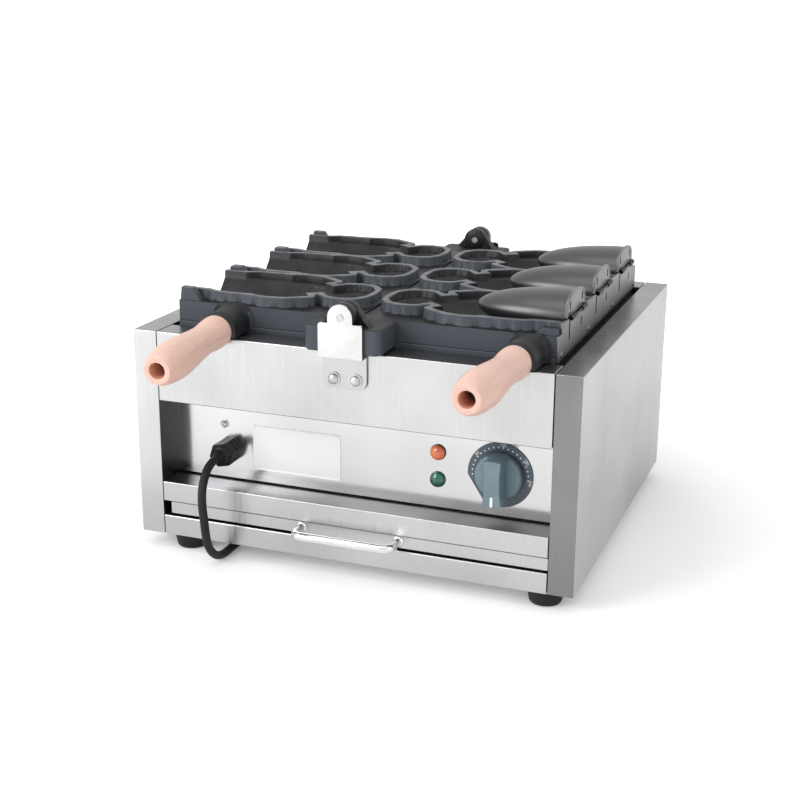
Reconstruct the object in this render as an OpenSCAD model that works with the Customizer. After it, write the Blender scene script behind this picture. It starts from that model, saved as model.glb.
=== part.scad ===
// Table-top taiyaki maker: two hinged fish moulds over a sheet steel body.
// X points right, Y points to the back, Z points up.
// The origin is on the surface it stands on, under the middle of the machine.

/* [Body] */
// Width of the sheet steel body
body_w = 430; // [400:1:470]
// Depth of the sheet steel body
body_d = 382; // [370:1:410]
// Height of the body without its feet
body_h = 202; // [196:1:220]
// Thickness of the body sheets
sheet = 1.2; // [0.8:0.1:1.6]
// Width of the corner posts
post_w = 24; // [20:1:28]
// Depth of the lips along the front and rear of the top
lip_d = 28; // [24:1:30]
// Gap between a front panel and the posts beside it
panel_gap = 1; // [0.6:0.1:1.6]
// Height of the upper front panel
upper_panel_h = 67; // [60:1:70]
// How far the control panel lies behind the front
recess_d = 30; // [26:1:34]
// Height of the ledge rail above the tray
ledge_h = 19.4; // [16:0.1:21]
// Height of the bottom rail under the tray
bottom_rail_h = 19.5; // [16:0.1:20.5]
// Height of the gap that the tray slides in
tray_gap_h = 14.8; // [13.5:0.1:17]

/* [Feet] */
// Height of a foot
foot_h = 15; // [12:1:20]
// Diameter of a foot
foot_d = 34; // [24:1:36]
// Distance from a left foot's centre to the left side of the body
left_foot_inset = 44; // [29:1:50]
// Distance from a right foot's centre to the right side of the body
right_foot_inset = 30; // [29:1:50]
// Distance from a foot's centre to the front or the rear of the body
foot_front_inset = 19; // [17:1:24]

/* [Moulds] */
// Height of the hinge axis and of the parting plane over the body's top
hinge_over_top = 33.6; // [33:0.1:36]
// Gap from a mould's outer end to the edge of the opening
mould_end_gap = 8; // [6:0.5:11]
// Gap from a mould's front to the edge of the opening
mould_side_gap = 2.5; // [1.5:0.5:4]
// Half of the gap between the two moulds at the hinge
mould_mid_gap = 1.5; // [1:0.1:2.5]
// Thickness of a mould's base slab
slab_t = 30; // [28:0.5:31]
// Gap between the two closed moulds
closed_gap = 0.3; // [0.3:0.05:0.8]
// Height of the walls over a mould's base slab
wall_h = 9.45; // [8.5:0.05:10]
// Thickness of the walls round the fish
wall_t = 7.3; // [6.9:0.1:8]
// Depth of the deepest part of a cavity
cavity_depth = 21.5; // [21:0.1:23]
// Depth of the fins
fin_depth = 7; // [5:0.5:9]
// Width of the mouth opening of a cavity
mouth_w = 75; // [71:1:80]
// Length of the blocks at the mouth end
block_len = 15.5; // [12:0.5:16]
// Height of the left mould's end blocks over the parting plane
block_rise = 2.85; // [2:0.05:3]

/* [Hinge] */
// Outer radius of a hinge ring
ring_r = 12; // [10:0.5:12.5]
// Width of a hinge ring along the axis
ring_w = 10; // [8:0.5:10]
// Radius of the hinge pins
hinge_pin_r = 3.3; // [2.5:0.1:4.5]
// Radial clearance of the hinge pins in the rings
pin_fit = 0.05; // [0.02:0.01:0.09]
// Thickness of the hinge brackets
bracket_t = 2.5; // [2:0.1:3]
// How far a hinge bracket stands out from the body
bracket_out = 13; // [12.9:0.1:16]

/* [Mouth inserts] */
// Half of an insert's width
cone_half_w = 32.5; // [28:0.5:33]
// Half of an insert's height
cone_half_h = 20; // [16:0.5:20.5]
// Length of an insert
cone_len = 89; // [70:1:95]
// Radial clearance round an insert in its trough
cone_gap = 1.5; // [0.8:0.1:1.5]
// Thickness of the end strip and of the hinge leaves
leaf_t = 2; // [1.5:0.1:2.5]
// Radius of the small hinges' pins
leaf_pin_r = 1.2; // [1:0.1:1.4]
// Outer radius of the small hinges' barrels
barrel_r = 2.2; // [2:0.1:2.6]

/* [Handles] */
// Height of a handle's axis over the flat underside of its lug
handle_seat = 7.4; // [7:0.1:9]
// Distance of the left handle from the hinge axis
left_handle_x = 124.5; // [110:0.5:135]
// Distance of the right handle from the hinge axis
right_handle_x = 157; // [145:0.5:160]
// Angle by which both handles point inwards
handle_tilt = 2.4; // [0:0.1:4]
// Angle by which the left handle hangs down
left_droop = 3; // [0:0.5:4]
// Length of a wooden grip
grip_len = 119; // [100:1:135]
// Greatest radius of a wooden grip
grip_r = 17.5; // [15:0.5:18.5]
// Radius of the hole in a grip's end
grip_hole_r = 7.2; // [6.5:0.1:8]
// Radius of a handle rod
rod_r = 4; // [3:0.1:5]

/* [Controls] */
// Distance of the knob from the body's right side
knob_inset = 78.3; // [60:0.1:90]
// Distance of the knob under the upper panel
knob_drop = 40.4; // [37:0.1:44]
// Radius of the knob
knob_r = 22.5; // [18:0.5:25]
// How far the knob's grip stands out from the dial
knob_out = 25; // [18:0.5:26]
// Width of the knob's grip
knob_grip_w = 14.6; // [11:0.1:16]
// Radius of the dial ring
dial_r = 30.5; // [28:0.5:34]
// Distance of the lamps from the knob
lamp_offset = 59; // [50:0.5:65]
// Distance of the upper lamp under the upper panel
upper_lamp_drop = 26.6; // [24:0.2:30]
// Distance between the two lamps
lamp_spacing = 26.1; // [22:0.1:28]
// Radius of a lamp's lens
lamp_r = 7; // [5:0.5:9]
// Width of the rating plate
plate_w = 90; // [70:1:95]
// Height of the rating plate
plate_h = 45; // [35:1:50]
// Across flats of the cable gland
gland_af = 22; // [20:1:28]
// Distance of the cable gland from the body's left side
gland_inset = 81; // [70:1:90]
// Distance of the cable gland under the upper panel
gland_drop = 52; // [46:1:56]

/* [Tray] */
// Gap between the tray and the posts on each side
tray_side_gap = 8; // [7:0.5:12]
// Gap between the tray's front and the right post
tray_right_gap = 0.8; // [0.5:0.1:3]
// Depth of the drip tray
tray_d = 340; // [280:5:350]
// Spacing of the tray handle's posts
handle_span = 96; // [70:1:120]
// How far the tray handle stands out
handle_out = 25; // [20:1:32]
// Thickness of the tray handle's bar
handle_bar_d = 8; // [5:0.5:8]

/* [Mains lead] */
// Diameter of the lead
cord_d = 8; // [6:0.5:8]
// Radius of the coil's outer turn
coil_r = 54; // [50:1:56]
// Step between the coil's turns
coil_pitch = 10; // [9.6:0.1:11]
// Step between the coil's two layers
coil_layer = 9; // [8.8:0.1:10]

/* [Hidden] */
$fn = 48;

// Small overlap that lets cuts pass through a face
eps = 0.01;
// Clearance between pieces that move past each other
run_gap = 0.3;

// Outer faces of the body
side_x = body_w / 2;
front_y = body_d / 2;
// Edges of the opening that the moulds lie in
open_x = side_x - post_w;
open_y = front_y - lip_d;
// Half width of the panels between the posts
panel_x = open_x - panel_gap;
// Front face of the control panel
control_y = front_y - recess_d;
// Height of the hinge axis over the body's bottom
hinge_rise = body_h + hinge_over_top;
// Least height of a casting that reaches out over the body's top
over_top_gap = 1;
// Depth of the lips of the two rails
rail_lip = 15;
// Open slot between the control panel and the ledge under it
panel_foot_gap = 1.8;
// Heights up the front
tray_gap_top = bottom_rail_h + tray_gap_h;
ledge_top = tray_gap_top + ledge_h;
upper_panel_z = body_h - upper_panel_h;
knob_x = side_x - knob_inset;
knob_z = upper_panel_z - knob_drop;
lamp_x = knob_x - lamp_offset;
upper_lamp_z = upper_panel_z - upper_lamp_drop;
lower_lamp_z = upper_lamp_z - lamp_spacing;
gland_z = upper_panel_z - gland_drop;
// Height of the shield's top under the support frame
shield_top = body_h - 14;
// Distance of the shield behind the control panel
shield_back = 43;
shield_y = control_y - shield_back;

// Ends and sides of a mould
mould_end = open_x - mould_end_gap;
mould_side = open_y - mould_side_gap;
mould_z = hinge_rise - closed_gap / 2 - wall_h - slab_t;
slab_top = mould_z + slab_t;
parting_top = hinge_rise - closed_gap / 2;
// The fish outline is drawn for this length and pitch, and follows the mould
drawn_len = 171;
drawn_pitch = 102.5;
tail_margin = 12;
side_margin = 6.75;
fish_len = mould_end - tail_margin;
fish_pitch = (2 * mould_side - 2 * side_margin) / 3;
fish_rows = [-1, 0, 1];

// Hinge stations along Y, from the bracket inwards
bracket_face = front_y + bracket_out;
outer_ring_y = bracket_face - bracket_t - run_gap;
inner_ring_y = outer_ring_y - ring_w - 0.4;
pin_inner_y = inner_ring_y - ring_w - 0.6;
pin_outer_y = bracket_face + 1;
// Hinge blocks of the moulds
block_reach = 36;
boss_z = body_h + over_top_gap;
boss_clear = 12.6;

// Small hinges of the mouth inserts
leaf_x = mould_end + run_gap;
barrel_x = mould_end + leaf_t + run_gap + barrel_r;
barrel_z = hinge_rise + 0.4;
strip_top = hinge_rise - 0.2;
leaf_bottom = barrel_z + 0.6;
strip_bottom = boss_z;
knuckle_len = 8;

// Handles
root_y = bracket_face - 12.2;
handle_rise = boss_z + 0.1 + handle_seat;
collar_t = 2;
nut_depth = 25;

// The origin is under the middle of the whole machine
grip_end_y = root_y + (collar_t + grip_len) * cos(handle_tilt) + 12.5 * sin(handle_tilt);
y_shift = (grip_end_y - pin_outer_y) / 2;

// Tray
tray_x = open_x - tray_side_gap;
runner_top = bottom_rail_h + 2.2;
tray_z = runner_top + run_gap;
tray_top = tray_gap_top - 1;
tray_front = front_y - 1.5;
tray_sheet = 1;

// Mains lead, all heights over the floor
cord_x = gland_inset - side_x;
gland_len = 24;
cord_start_y = control_y + gland_len;
floor_z = -foot_h;
cord_r = cord_d / 2;
run_z = floor_z + cord_r;
coil_y = front_y + 71;
coil_cx = cord_x + coil_r;
layer_turns = 1.375;
climb_turns = 0.5;
tail_len = 80;
plug_r = 18;

// Colours
steel_c = "gainsboro";
iron_c = "dimgray";
wood_c = "burlywood";
black_c = "#202022";

module placed() translate([0, y_shift, foot_h]) children();

// Draws its children at the front and mirrored at the rear
module front_and_rear() {
    children();
    mirror([0, 1, 0]) children();
}

// Draws its children on the right and mirrored on the left
module right_and_left() {
    children();
    mirror([1, 0, 0]) children();
}

// Turns a profile drawn in XZ into a plate that starts at y and runs backwards
module plate_xz(y, t) translate([0, y + t, 0]) rotate([90, 0, 0]) linear_extrude(t) children();

// Turns a profile drawn in YZ into a bar that starts at x and runs to the right
module bar_x(x, l) translate([x, 0, 0]) rotate([90, 0, 90]) linear_extrude(l) children();

// A cylinder along Y that starts at y and runs backwards
module rod_y(r, y, l) translate([0, y, 0]) rotate([-90, 0, 0]) cylinder(r = r, h = l);

function unit(v) = v / norm(v);

// Convex outline with rounded corners, moved outwards by t
function rounded(p, r, t = 0, n = 4) = let (c = len(p)) [for (i = [0:c - 1])
    let (a = p[(i + c - 1) % c], b = p[i], d = p[(i + 1) % c],
        u1 = unit(b - a), u2 = unit(d - b),
        n1 = [u1.y, -u1.x], n2 = [u2.y, -u2.x],
        m = (n1 + n2) / (1 + n1 * n2),
        corner = max(r[i] + t, 0.5),
        q = b + t * m - corner * m)
    for (j = [0:n]) q + corner * unit(n1 * (n - j) + n2 * j)];

// Moves an outline towards a point by the factor k
function shrunk(p, k, c) = [for (q = p) c + k * (q - c)];

// Rectangle with rounded corners, as a list of points
function soft_box(x0, y0, x1, y1, r) = rounded([[x0, y0], [x1, y0], [x1, y1], [x0, y1]], [r, r, r, r]);

// Fish outline, drawn from the mouth at 0 to the tail: body, one fin and tail
body_pts = [[16, 33], [16, -33], [34, -43], [70, -44], [100, -34], [134, -9], [134, 9], [100, 34],
    [70, 44], [34, 43]];
body_rad = [6, 6, 25, 60, 40, 8, 8, 40, 60, 25];
fin_pts = [[90, 15], [113, 20], [123, 33], [104, 45], [88, 48], [66, 43.8]];
fin_rad = [5, 6, 3, 12, 20, 6];
tail_pts = [[128, 12], [128, -12], [140, -26], [152, -28], [164, -24], [171, -12], [171, 12],
    [164, 24], [152, 28], [140, 26]];
tail_rad = [4, 4, 10, 14, 10, 8, 8, 10, 14, 10];
body_core = [75, 0];
tail_core = [150, 0];

// Places a drawn outline on the mould, for a fish centred at y
function on_mould(p, y) = [for (q = p)
    [mould_end - q.x * fish_len / drawn_len, y + q.y * fish_pitch / drawn_pitch]];

module fish_outline(y, t) {
    polygon(on_mould(rounded(body_pts, body_rad, t), y));
    polygon(on_mould(rounded(fin_pts, fin_rad, t), y));
    polygon(on_mould([for (q = rounded(fin_pts, fin_rad, t)) [q.x, -q.y]], y));
    polygon(on_mould(rounded(tail_pts, tail_rad, t), y));
}

// A prism cut down from above the parting plane to a depth below it
module cut_to(depth) translate([0, 0, hinge_rise - depth]) linear_extrude(depth + 20) children();

module fish_cavity(y) {
    cut_to(fin_depth) fish_outline(y, 0);
    cut_to(fin_depth + 6) {
        polygon(on_mould(rounded(shrunk(body_pts, 0.88, body_core), body_rad * 0.88), y));
        polygon(on_mould(rounded(shrunk(tail_pts, 0.8, tail_core), tail_rad * 0.8), y));
    }
    cut_to(cavity_depth)
        polygon(on_mould(rounded(shrunk(body_pts, 0.7, body_core), body_rad * 0.7), y));
}

// The trough that an insert lies in, with its open mouth above
module mouth_trough(y) {
    half_w = cone_half_w + cone_gap;
    half_h = cone_half_h + cone_gap;
    trough_len = 50;
    bar_x(mould_end - trough_len, trough_len + 1)
        translate([y, hinge_rise])
            polygon(concat([[half_w, 30], [-half_w, 30]],
                [for (a = [180:15:360]) [half_w * cos(a), half_h * sin(a)]]));
    translate([mould_end - block_len - 1, y - mouth_w / 2, slab_top])
        cube([block_len + 2, mouth_w, 40]);
}

// One mould, drawn on the right of the hinge axis.
// block_top is the height of the end blocks, own_y and other_y are the inner faces of the hinge rings
module mould_casting(block_top, own_y, other_y) {
    row_end = fish_pitch + mouth_w / 2 + 12;
    difference() {
        union() {
            translate([mould_mid_gap, -mould_side, mould_z])
                cube([mould_end - mould_mid_gap, 2 * mould_side, slab_t]);
            translate([0, 0, slab_top]) linear_extrude(wall_h)
                intersection() {
                    for (row = fish_rows) fish_outline(row * fish_pitch, wall_t);
                    translate([mould_mid_gap, -mould_side]) square([mould_end, 2 * mould_side]);
                }
            translate([mould_end - block_len, -row_end, slab_top - 1])
                cube([block_len, 2 * row_end, block_top - slab_top + 1]);
            front_and_rear() hinge_boss(own_y, other_y);
        }
        for (row = fish_rows) {
            fish_cavity(row * fish_pitch);
            mouth_trough(row * fish_pitch);
        }
        if (block_top < hinge_rise)
            translate([mould_end - block_len - 0.5, -mould_side - 1, block_top])
                cube([block_len + 2, 2 * mould_side + 2, 30]);
        front_and_rear() translate([0, 0, hinge_rise]) {
            rod_y(hinge_pin_r + pin_fit, -outer_ring_y - 1, 2 * ring_w + 3);
            rod_y(ring_r + 0.6, -other_y - ring_w - 0.2, ring_w + 0.4);
        }
    }
}

// The block beside the hinge with its arm and ring
module hinge_boss(own_y, other_y) {
    boss_h = slab_top - boss_z;
    difference() {
        translate([0, 0, boss_z]) linear_extrude(boss_h)
            polygon(rounded([[mould_mid_gap, -outer_ring_y], [block_reach, -outer_ring_y],
                [block_reach, -mould_side + 2], [mould_mid_gap, -mould_side + 2]], [1, 8, 0.5, 0.5]));
        translate([-1, -other_y - ring_w - 0.2, boss_z - 1])
            cube([boss_clear + 1, ring_w + 0.4, boss_h + 2]);
    }
    translate([0, 0, hinge_rise]) {
        rod_y(ring_r, -own_y - ring_w, ring_w);
        plate_xz(-own_y - ring_w, ring_w)
            polygon([[2.5, 11.6], [12, 5], [23, slab_top - hinge_rise - 0.1], [23, -20], [mould_mid_gap, -20],
                [mould_mid_gap, -11], [0, -8]]);
    }
}

// Frame of a handle, at its root, with the handle running along -Y
module handle_frame(x, tilt, droop)
    translate([x, -root_y, handle_rise]) rotate([droop, 0, tilt]) children();

// The cast lug that carries a handle
module handle_lug() {
    lug_r = 16;
    lug_len = root_y - mould_side + 3;
    difference() {
        intersection() {
            union() {
                rod_y(lug_r, 0, lug_len);
                translate([-lug_r, 0, -lug_r]) cube([2 * lug_r, lug_len, lug_r]);
            }
            translate([-20, -1, -handle_seat]) cube([40, lug_len + 2, 40]);
        }
        rod_y(rod_r, -1, 21);
    }
}

module handle_rod() {
    collar_r = 11.5;
    rod_y(rod_r, -collar_t - grip_len + nut_depth - 9, collar_t + grip_len - nut_depth + 9 + 19);
    rod_y(collar_r, -collar_t, collar_t);
}

// Grip profile as distance from the collar and radius
module grip() {
    bore_r = rod_r + 0.2;
    profile = [[0, 12], [1.2, 13.4], [4, 15], [14, 15], [23, 14.2], [32, 13.6], [40, 13.9], [50, 14.6],
        [60, 15.5], [72, 16.6], [85, grip_r], [97, grip_r], [105, grip_r - 0.3], [112, 16.4],
        [116, 15.2], [119, 12.8]];
    rotate([90, 0, 0]) translate([0, 0, collar_t]) rotate_extrude()
        polygon(concat([[bore_r, 0]], [for (q = profile) [q.y, q.x * grip_len / 119]],
            [[grip_hole_r, grip_len], [grip_hole_r, grip_len - nut_depth],
            [bore_r, grip_len - nut_depth]]));
}

module grip_nut() {
    nut_r = 6;
    nut_h = 5;
    translate([0, -collar_t - grip_len + nut_depth, 0]) rotate([90, 0, 0]) difference() {
        cylinder(r = nut_r, h = nut_h, $fn = 6);
        translate([0, 0, -1]) cylinder(r = rod_r, h = nut_h + 2);
    }
}

// Bullet-shaped insert: elliptical rings that grow towards the mouth
insert_rings = 9;
insert_sides = 28;
function insert_ring(i) = let (a = 90 * i / insert_rings) [for (j = [0:insert_sides - 1])
    let (b = 360 * j / insert_sides)
    [leaf_x - cone_len * cos(a), cone_half_w * sin(a) * cos(b), cone_half_h * sin(a) * sin(b)]];

module insert_body(row) color("silver") placed() translate([0, row * fish_pitch, hinge_rise]) {
    tip = [[leaf_x - cone_len, 0, 0]];
    pts = concat(tip, [for (i = [1:insert_rings]) each insert_ring(i)]);
    tip_faces = [for (j = [0:insert_sides - 1]) [0, 1 + (j + 1) % insert_sides, 1 + j]];
    side_faces = [for (i = [0:insert_rings - 2], j = [0:insert_sides - 1])
        let (a = 1 + i * insert_sides + j, b = 1 + i * insert_sides + (j + 1) % insert_sides)
        each [[a, b, b + insert_sides], [a, b + insert_sides, a + insert_sides]]];
    base_face = [for (j = [0:insert_sides - 1]) 1 + (insert_rings - 1) * insert_sides + j];
    difference() {
        polyhedron(pts, concat(tip_faces, side_faces, [base_face]));
        translate([mould_end - run_gap, -cone_half_w, -cone_half_h])
            cube([2 * run_gap + 1, 2 * cone_half_w, cone_half_h + leaf_bottom - hinge_rise]);
    }
}

// Hinge knuckles of one insert: the leaf has the outer ones, the strip the inner ones
leaf_knuckles = [-28, 20];
strip_knuckles = [-19.6, 11.6];
module knuckle(y, web_z, web_h) {
    translate([barrel_x, 0, barrel_z]) rod_y(barrel_r, y, knuckle_len);
    translate([leaf_x + leaf_t - 0.3, y, web_z]) cube([barrel_r + 0.6, knuckle_len, web_h]);
}

// The visible plate of an insert, with its slots and hinge knuckles
module insert_leaf(row) color(steel_c) placed() translate([0, row * fish_pitch, 0]) {
    leaf_h = cone_half_h - (leaf_bottom - hinge_rise);
    difference() {
        union() {
            bar_x(leaf_x, leaf_t) translate([0, leaf_bottom])
                polygon([[-cone_half_w, 0], [cone_half_w, 0], [cone_half_w, leaf_h - 7],
                    [cone_half_w - 7, leaf_h], [7 - cone_half_w, leaf_h], [-cone_half_w, leaf_h - 7]]);
            for (y = leaf_knuckles) knuckle(y, leaf_bottom, 1.4);
        }
        translate([barrel_x, 0, barrel_z]) rod_y(leaf_pin_r + pin_fit, -40, 80);
    }
}

// Swept tube of round section through a list of points
function tangent(p, i) = unit(i == 0 ? p[1] - p[0] : i == len(p) - 1 ? p[i] - p[i - 1]
    : unit(p[i + 1] - p[i]) + unit(p[i] - p[i - 1]));
function tube_ring(p, i, r, sides, up) = let (t = tangent(p, i), s = unit(cross(t, up)), w = cross(s, t))
    [for (j = [0:sides - 1]) let (a = 360 * (j + 0.5) / sides) p[i] + r * (cos(a) * s + sin(a) * w)];
module tube(p, r, sides, up) {
    n = len(p);
    pts = [for (i = [0:n - 1]) each tube_ring(p, i, r, sides, up)];
    sides_f = [for (i = [0:n - 2], j = [0:sides - 1])
        let (a = i * sides + j, b = i * sides + (j + 1) % sides)
        each [[a, b, b + sides], [a, b + sides, a + sides]]];
    first = [for (j = [0:sides - 1]) sides - 1 - j];
    last = [for (j = [0:sides - 1]) (n - 1) * sides + j];
    polyhedron(pts, concat(sides_f, [first, last]));
}

// Route of the hanging stretch, from the gland to the floor
drop_top = [[0, 0, 0], [0, 5, 0], [0.4, 18, -2.6], [1.2, 29, -10], [2.2, 36.4, -21], [3.3, 39, -34]];
drop_low = [[5.6, 39, 34], [6.2, 36.4, 21], [6.6, 29, 10], [6.9, 18, 2.6], [7, 5, 0], [7, -4, 0]];
drop_pts = concat([for (q = drop_top) [cord_x + q.x, -cord_start_y - q.y, gland_z + q.z]],
    [[cord_x + 4.5, -cord_start_y - 39, (gland_z + run_z) / 2]],
    [for (q = drop_low) [cord_x + q.x, -cord_start_y - q.y, run_z + q.z]]);
// Route under the body to the coil, with a little sway
run_sway = [7, 7, 6.5, 5.5, 4.5, 4, 3.5, 3.5, 3.5, 3, 3, 2.5, 2, 1, 0.5, 0, 0, 0, 0];
run_from = 4 - cord_start_y;
run_to = coil_y - 2 * cord_d;
run_pts = [for (i = [0:18]) [cord_x + run_sway[i], run_from + (run_to - run_from) * i / 18, run_z]];

// The coil winds in on the floor, climbs a layer and winds out again
function coil_radius(t) = t < layer_turns ? coil_r - coil_pitch * t
    : t < layer_turns + climb_turns ? coil_r - coil_pitch * layer_turns
    : coil_r - coil_pitch * (2 * layer_turns + climb_turns - t);
function coil_height(t) = coil_layer * min(max((t - layer_turns) / climb_turns, 0), 1);
coil_turns = 2 * layer_turns + climb_turns;
coil_z = run_z;
coil_steps = round(coil_turns * 24);
function coil_at(i) = let (t = coil_turns * i / coil_steps, a = 180 - 360 * t)
    [coil_cx + coil_radius(t) * cos(a), coil_y + coil_radius(t) * sin(a), coil_z + coil_height(t)];
coil_mid = [for (i = [1:coil_steps - 1]) coil_at(i)];
coil_end = [coil_cx, coil_y + coil_r, coil_z + coil_layer];
coil_pts = concat([[cord_x, coil_y - 2 * cord_d, coil_z], [cord_x, coil_y - cord_d, coil_z],
    [cord_x, coil_y, coil_z]], coil_mid, [coil_end, coil_end + [cord_d, 0, 0], coil_end + [2 * cord_d, 0, 0]]);
// Least gap between the coil's own strands
coil_gap = min([for (i = [0:len(coil_pts) - 1], j = [i + 8:1:len(coil_pts) - 1])
    norm(coil_pts[i] - coil_pts[j])]) - cord_d;
echo(coil_gap = coil_gap);
// The lead's last stretch rises to the plug's axis
tail_start = coil_end + [2 * cord_d, 0, 0];
plug_x = coil_cx + 2 * cord_d + tail_len;
plug_z = floor_z + plug_r;
plug_pts = [tail_start, tail_start + [cord_d, 0, 0], tail_start + [25, 0, 0.8], tail_start + [45, 0, 3],
    tail_start + [60, 0, 4.6], [plug_x - cord_d, coil_end.y, plug_z], [plug_x, coil_end.y, plug_z]];

// A pan head screw that points backwards, its head's rim at y
module pan_screw(x, y, z, head_r, shank_r, l) translate([x, y, z]) {
    rod_y(shank_r, 0, l);
    difference() {
        rotate([90, 0, 0]) rotate_extrude()
            polygon([[0, 0], [head_r, 0], [head_r, head_r * 0.25], [head_r * 0.7, head_r * 0.55], [0, head_r * 0.6]]);
        for (a = [0, 90]) translate([0, -head_r * 0.3, 0]) rotate([0, a, 0])
            translate([-head_r * 0.55, -head_r, -head_r * 0.11]) cube([head_r * 1.1, head_r, head_r * 0.22]);
    }
}

// Body

module base_pan() color(steel_c) placed()
    difference() {
        translate([-open_x, sheet - front_y, 0]) cube([2 * open_x, body_d - 2 * sheet, sheet]);
        translate([0, 0, -1]) at_feet() cylinder(r = 2.6, h = 5);
    }

// Draws its children at the four feet
module at_feet() for (x = [left_foot_inset - side_x, side_x - right_foot_inset], y = [-1, 1])
    translate([x, y * (front_y - foot_front_inset), 0]) children();

// A side panel folded round both posts, with its top strip and bottom flange
module side_panel() {
    linear_extrude(body_h) polygon([[open_x, -control_y], [open_x, -front_y], [side_x, -front_y],
        [side_x, front_y], [open_x, front_y], [open_x, control_y], [open_x + sheet, control_y],
        [open_x + sheet, front_y - sheet], [side_x - sheet, front_y - sheet],
        [side_x - sheet, sheet - front_y], [open_x + sheet, sheet - front_y],
        [open_x + sheet, -control_y]]);
    for (z = [0, body_h - sheet]) translate([open_x, sheet - front_y, z])
        cube([post_w - sheet, body_d - 2 * sheet, sheet]);
}

module left_side_panel() color(steel_c) placed() mirror([1, 0, 0]) side_panel();
module right_side_panel() color(steel_c) placed() side_panel();

// The front or rear upper panel, with its lip and its underside
module upper_panel() difference() {
    translate([-panel_x, 0, 0]) bar_x(0, 2 * panel_x) polygon([[-front_y, upper_panel_z],
        [-front_y, body_h], [-open_y, body_h], [-open_y, body_h - sheet], [sheet - front_y, body_h - sheet],
        [sheet - front_y, upper_panel_z + sheet], [-control_y, upper_panel_z + sheet],
        [-control_y, upper_panel_z]]);
    for (x = bracket_screw_x) translate([x, 0, bracket_screw_z]) rod_y(2.6, -front_y - 1, 4);
}

module upper_front_panel() color(steel_c) placed() upper_panel();
module upper_rear_panel() color(steel_c) placed() mirror([0, 1, 0]) upper_panel();

control_top = upper_panel_z + 14;
module control_panel() color(steel_c) placed() difference() {
    translate([sheet - side_x, -control_y, ledge_top + panel_foot_gap])
        cube([body_w - 2 * sheet, sheet, control_top - ledge_top - panel_foot_gap]);
    translate([knob_x, 0, knob_z]) rod_y(5, -control_y - 1, 4);
    translate([lamp_x, 0, upper_lamp_z]) rod_y(5, -control_y - 1, 4);
    translate([lamp_x, 0, lower_lamp_z]) rod_y(5, -control_y - 1, 4);
    translate([cord_x, 0, gland_z]) rod_y(8, -control_y - 1, 4);
    translate([earth_x, 0, earth_z]) rod_y(2, -control_y - 1, 4);
}

// Channel rails between the posts, open at the back
module ledge_rail() color(steel_c) placed() bar_x(-panel_x, 2 * panel_x)
    polygon([[-front_y, tray_gap_top], [-front_y, ledge_top], [sheet - control_y, ledge_top],
        [sheet - control_y, ledge_top - sheet], [sheet - front_y, ledge_top - sheet],
        [sheet - front_y, tray_gap_top + sheet], [rail_lip - front_y, tray_gap_top + sheet],
        [rail_lip - front_y, tray_gap_top]]);

module bottom_rail() color(steel_c) placed() difference() {
    bar_x(-panel_x, 2 * panel_x)
        polygon([[-front_y, 0], [-front_y, bottom_rail_h], [rail_lip - front_y, bottom_rail_h],
            [rail_lip - front_y, bottom_rail_h - sheet], [sheet - front_y, bottom_rail_h - sheet],
            [sheet - front_y, 0]]);
    translate([-side_x, sheet - front_y, -1]) cube([body_w, 0.01, 0.01]);
}

back_screw_x = side_x - 14;
back_cover_top = upper_panel_z - 3;
back_screw_z = [22, back_cover_top / 2, back_cover_top - 22];
module back_cover() color(steel_c) placed() difference() {
    translate([-side_x + 6, front_y, 8]) cube([body_w - 12, sheet, back_cover_top - 8]);
    for (column = [-2:2], row = [0:5])
        translate([column * 62 - 22, front_y - 1, 34 + row * 12]) cube([44, 4, 4]);
    for (x = [-1, 1], z = back_screw_z) translate([x * back_screw_x, 0, z]) rod_y(1.8, front_y - 1, 4);
}

module back_screws() color("silver") placed() mirror([0, 1, 0])
    for (x = [-1, 1], z = back_screw_z) pan_screw(x * back_screw_x, -front_y - sheet, z, 3.6, 1.7, sheet);

// Angle frame under the opening, which carries both moulds
frame_leaf = 1.5;
frame_in = 12;
frame_top = mould_z - run_gap;
module support_frame() color("darkgray") placed() difference() {
    angle_frame();
    for (x = [-1, 1], y = [-1, 1]) translate([x * (open_x + 5), y * (control_y + 5), body_h - sheet])
        cube([10 + eps, 10 + run_gap, 40], center = true);
}
module angle_frame() {
    drop_h = body_h - sheet - (frame_top - frame_leaf);
    translate([0, 0, frame_top - frame_leaf]) linear_extrude(frame_leaf) difference() {
        square([2 * (open_x + frame_leaf), 2 * (open_y + frame_leaf)], center = true);
        square([2 * (mould_end - frame_in), 2 * (mould_side - frame_in)], center = true);
    }
    translate([0, 0, frame_top - frame_leaf]) linear_extrude(drop_h) difference() {
        square([2 * (open_x + frame_leaf), 2 * (open_y + frame_leaf)], center = true);
        square([2 * open_x, 2 * open_y], center = true);
    }
}

// L-shaped sheet between the electrical parts and the heated space
heater_z = body_h - 36;
heater_r = 4;
heater_legs = [58, 128];
module heat_shield() color("darkgray") placed() difference() {
    union() {
        translate([sheet - side_x, -shield_y, ledge_top - sheet])
            cube([body_w - 2 * sheet, sheet, shield_top - ledge_top + sheet]);
        translate([-open_x, sheet - control_y, ledge_top - sheet])
            cube([2 * open_x, shield_back - sheet, sheet]);
    }
    for (s = [-1, 1], x = heater_legs) translate([s * x, 0, heater_z]) rod_y(heater_r, -shield_y - 1, 4);
    translate([bulb_x, 0, bulb_z]) rod_y(1.2, -shield_y - 1, 4);
}

// Hairpin heating element with its two terminals
module heater() {
    bend_r = (heater_legs[1] - heater_legs[0]) / 2;
    bend_y = 110;
    front = -shield_y - 14;
    translate([0, 0, heater_z]) {
        for (x = heater_legs) translate([x, 0, 0]) {
            rod_y(heater_r, front, bend_y - front);
            rod_y(1.8, front - 8, 8);
        }
        translate([heater_legs[0] + bend_r, bend_y, 0]) rotate_extrude(angle = 180)
            translate([bend_r, 0]) circle(r = heater_r);
    }
}

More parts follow.
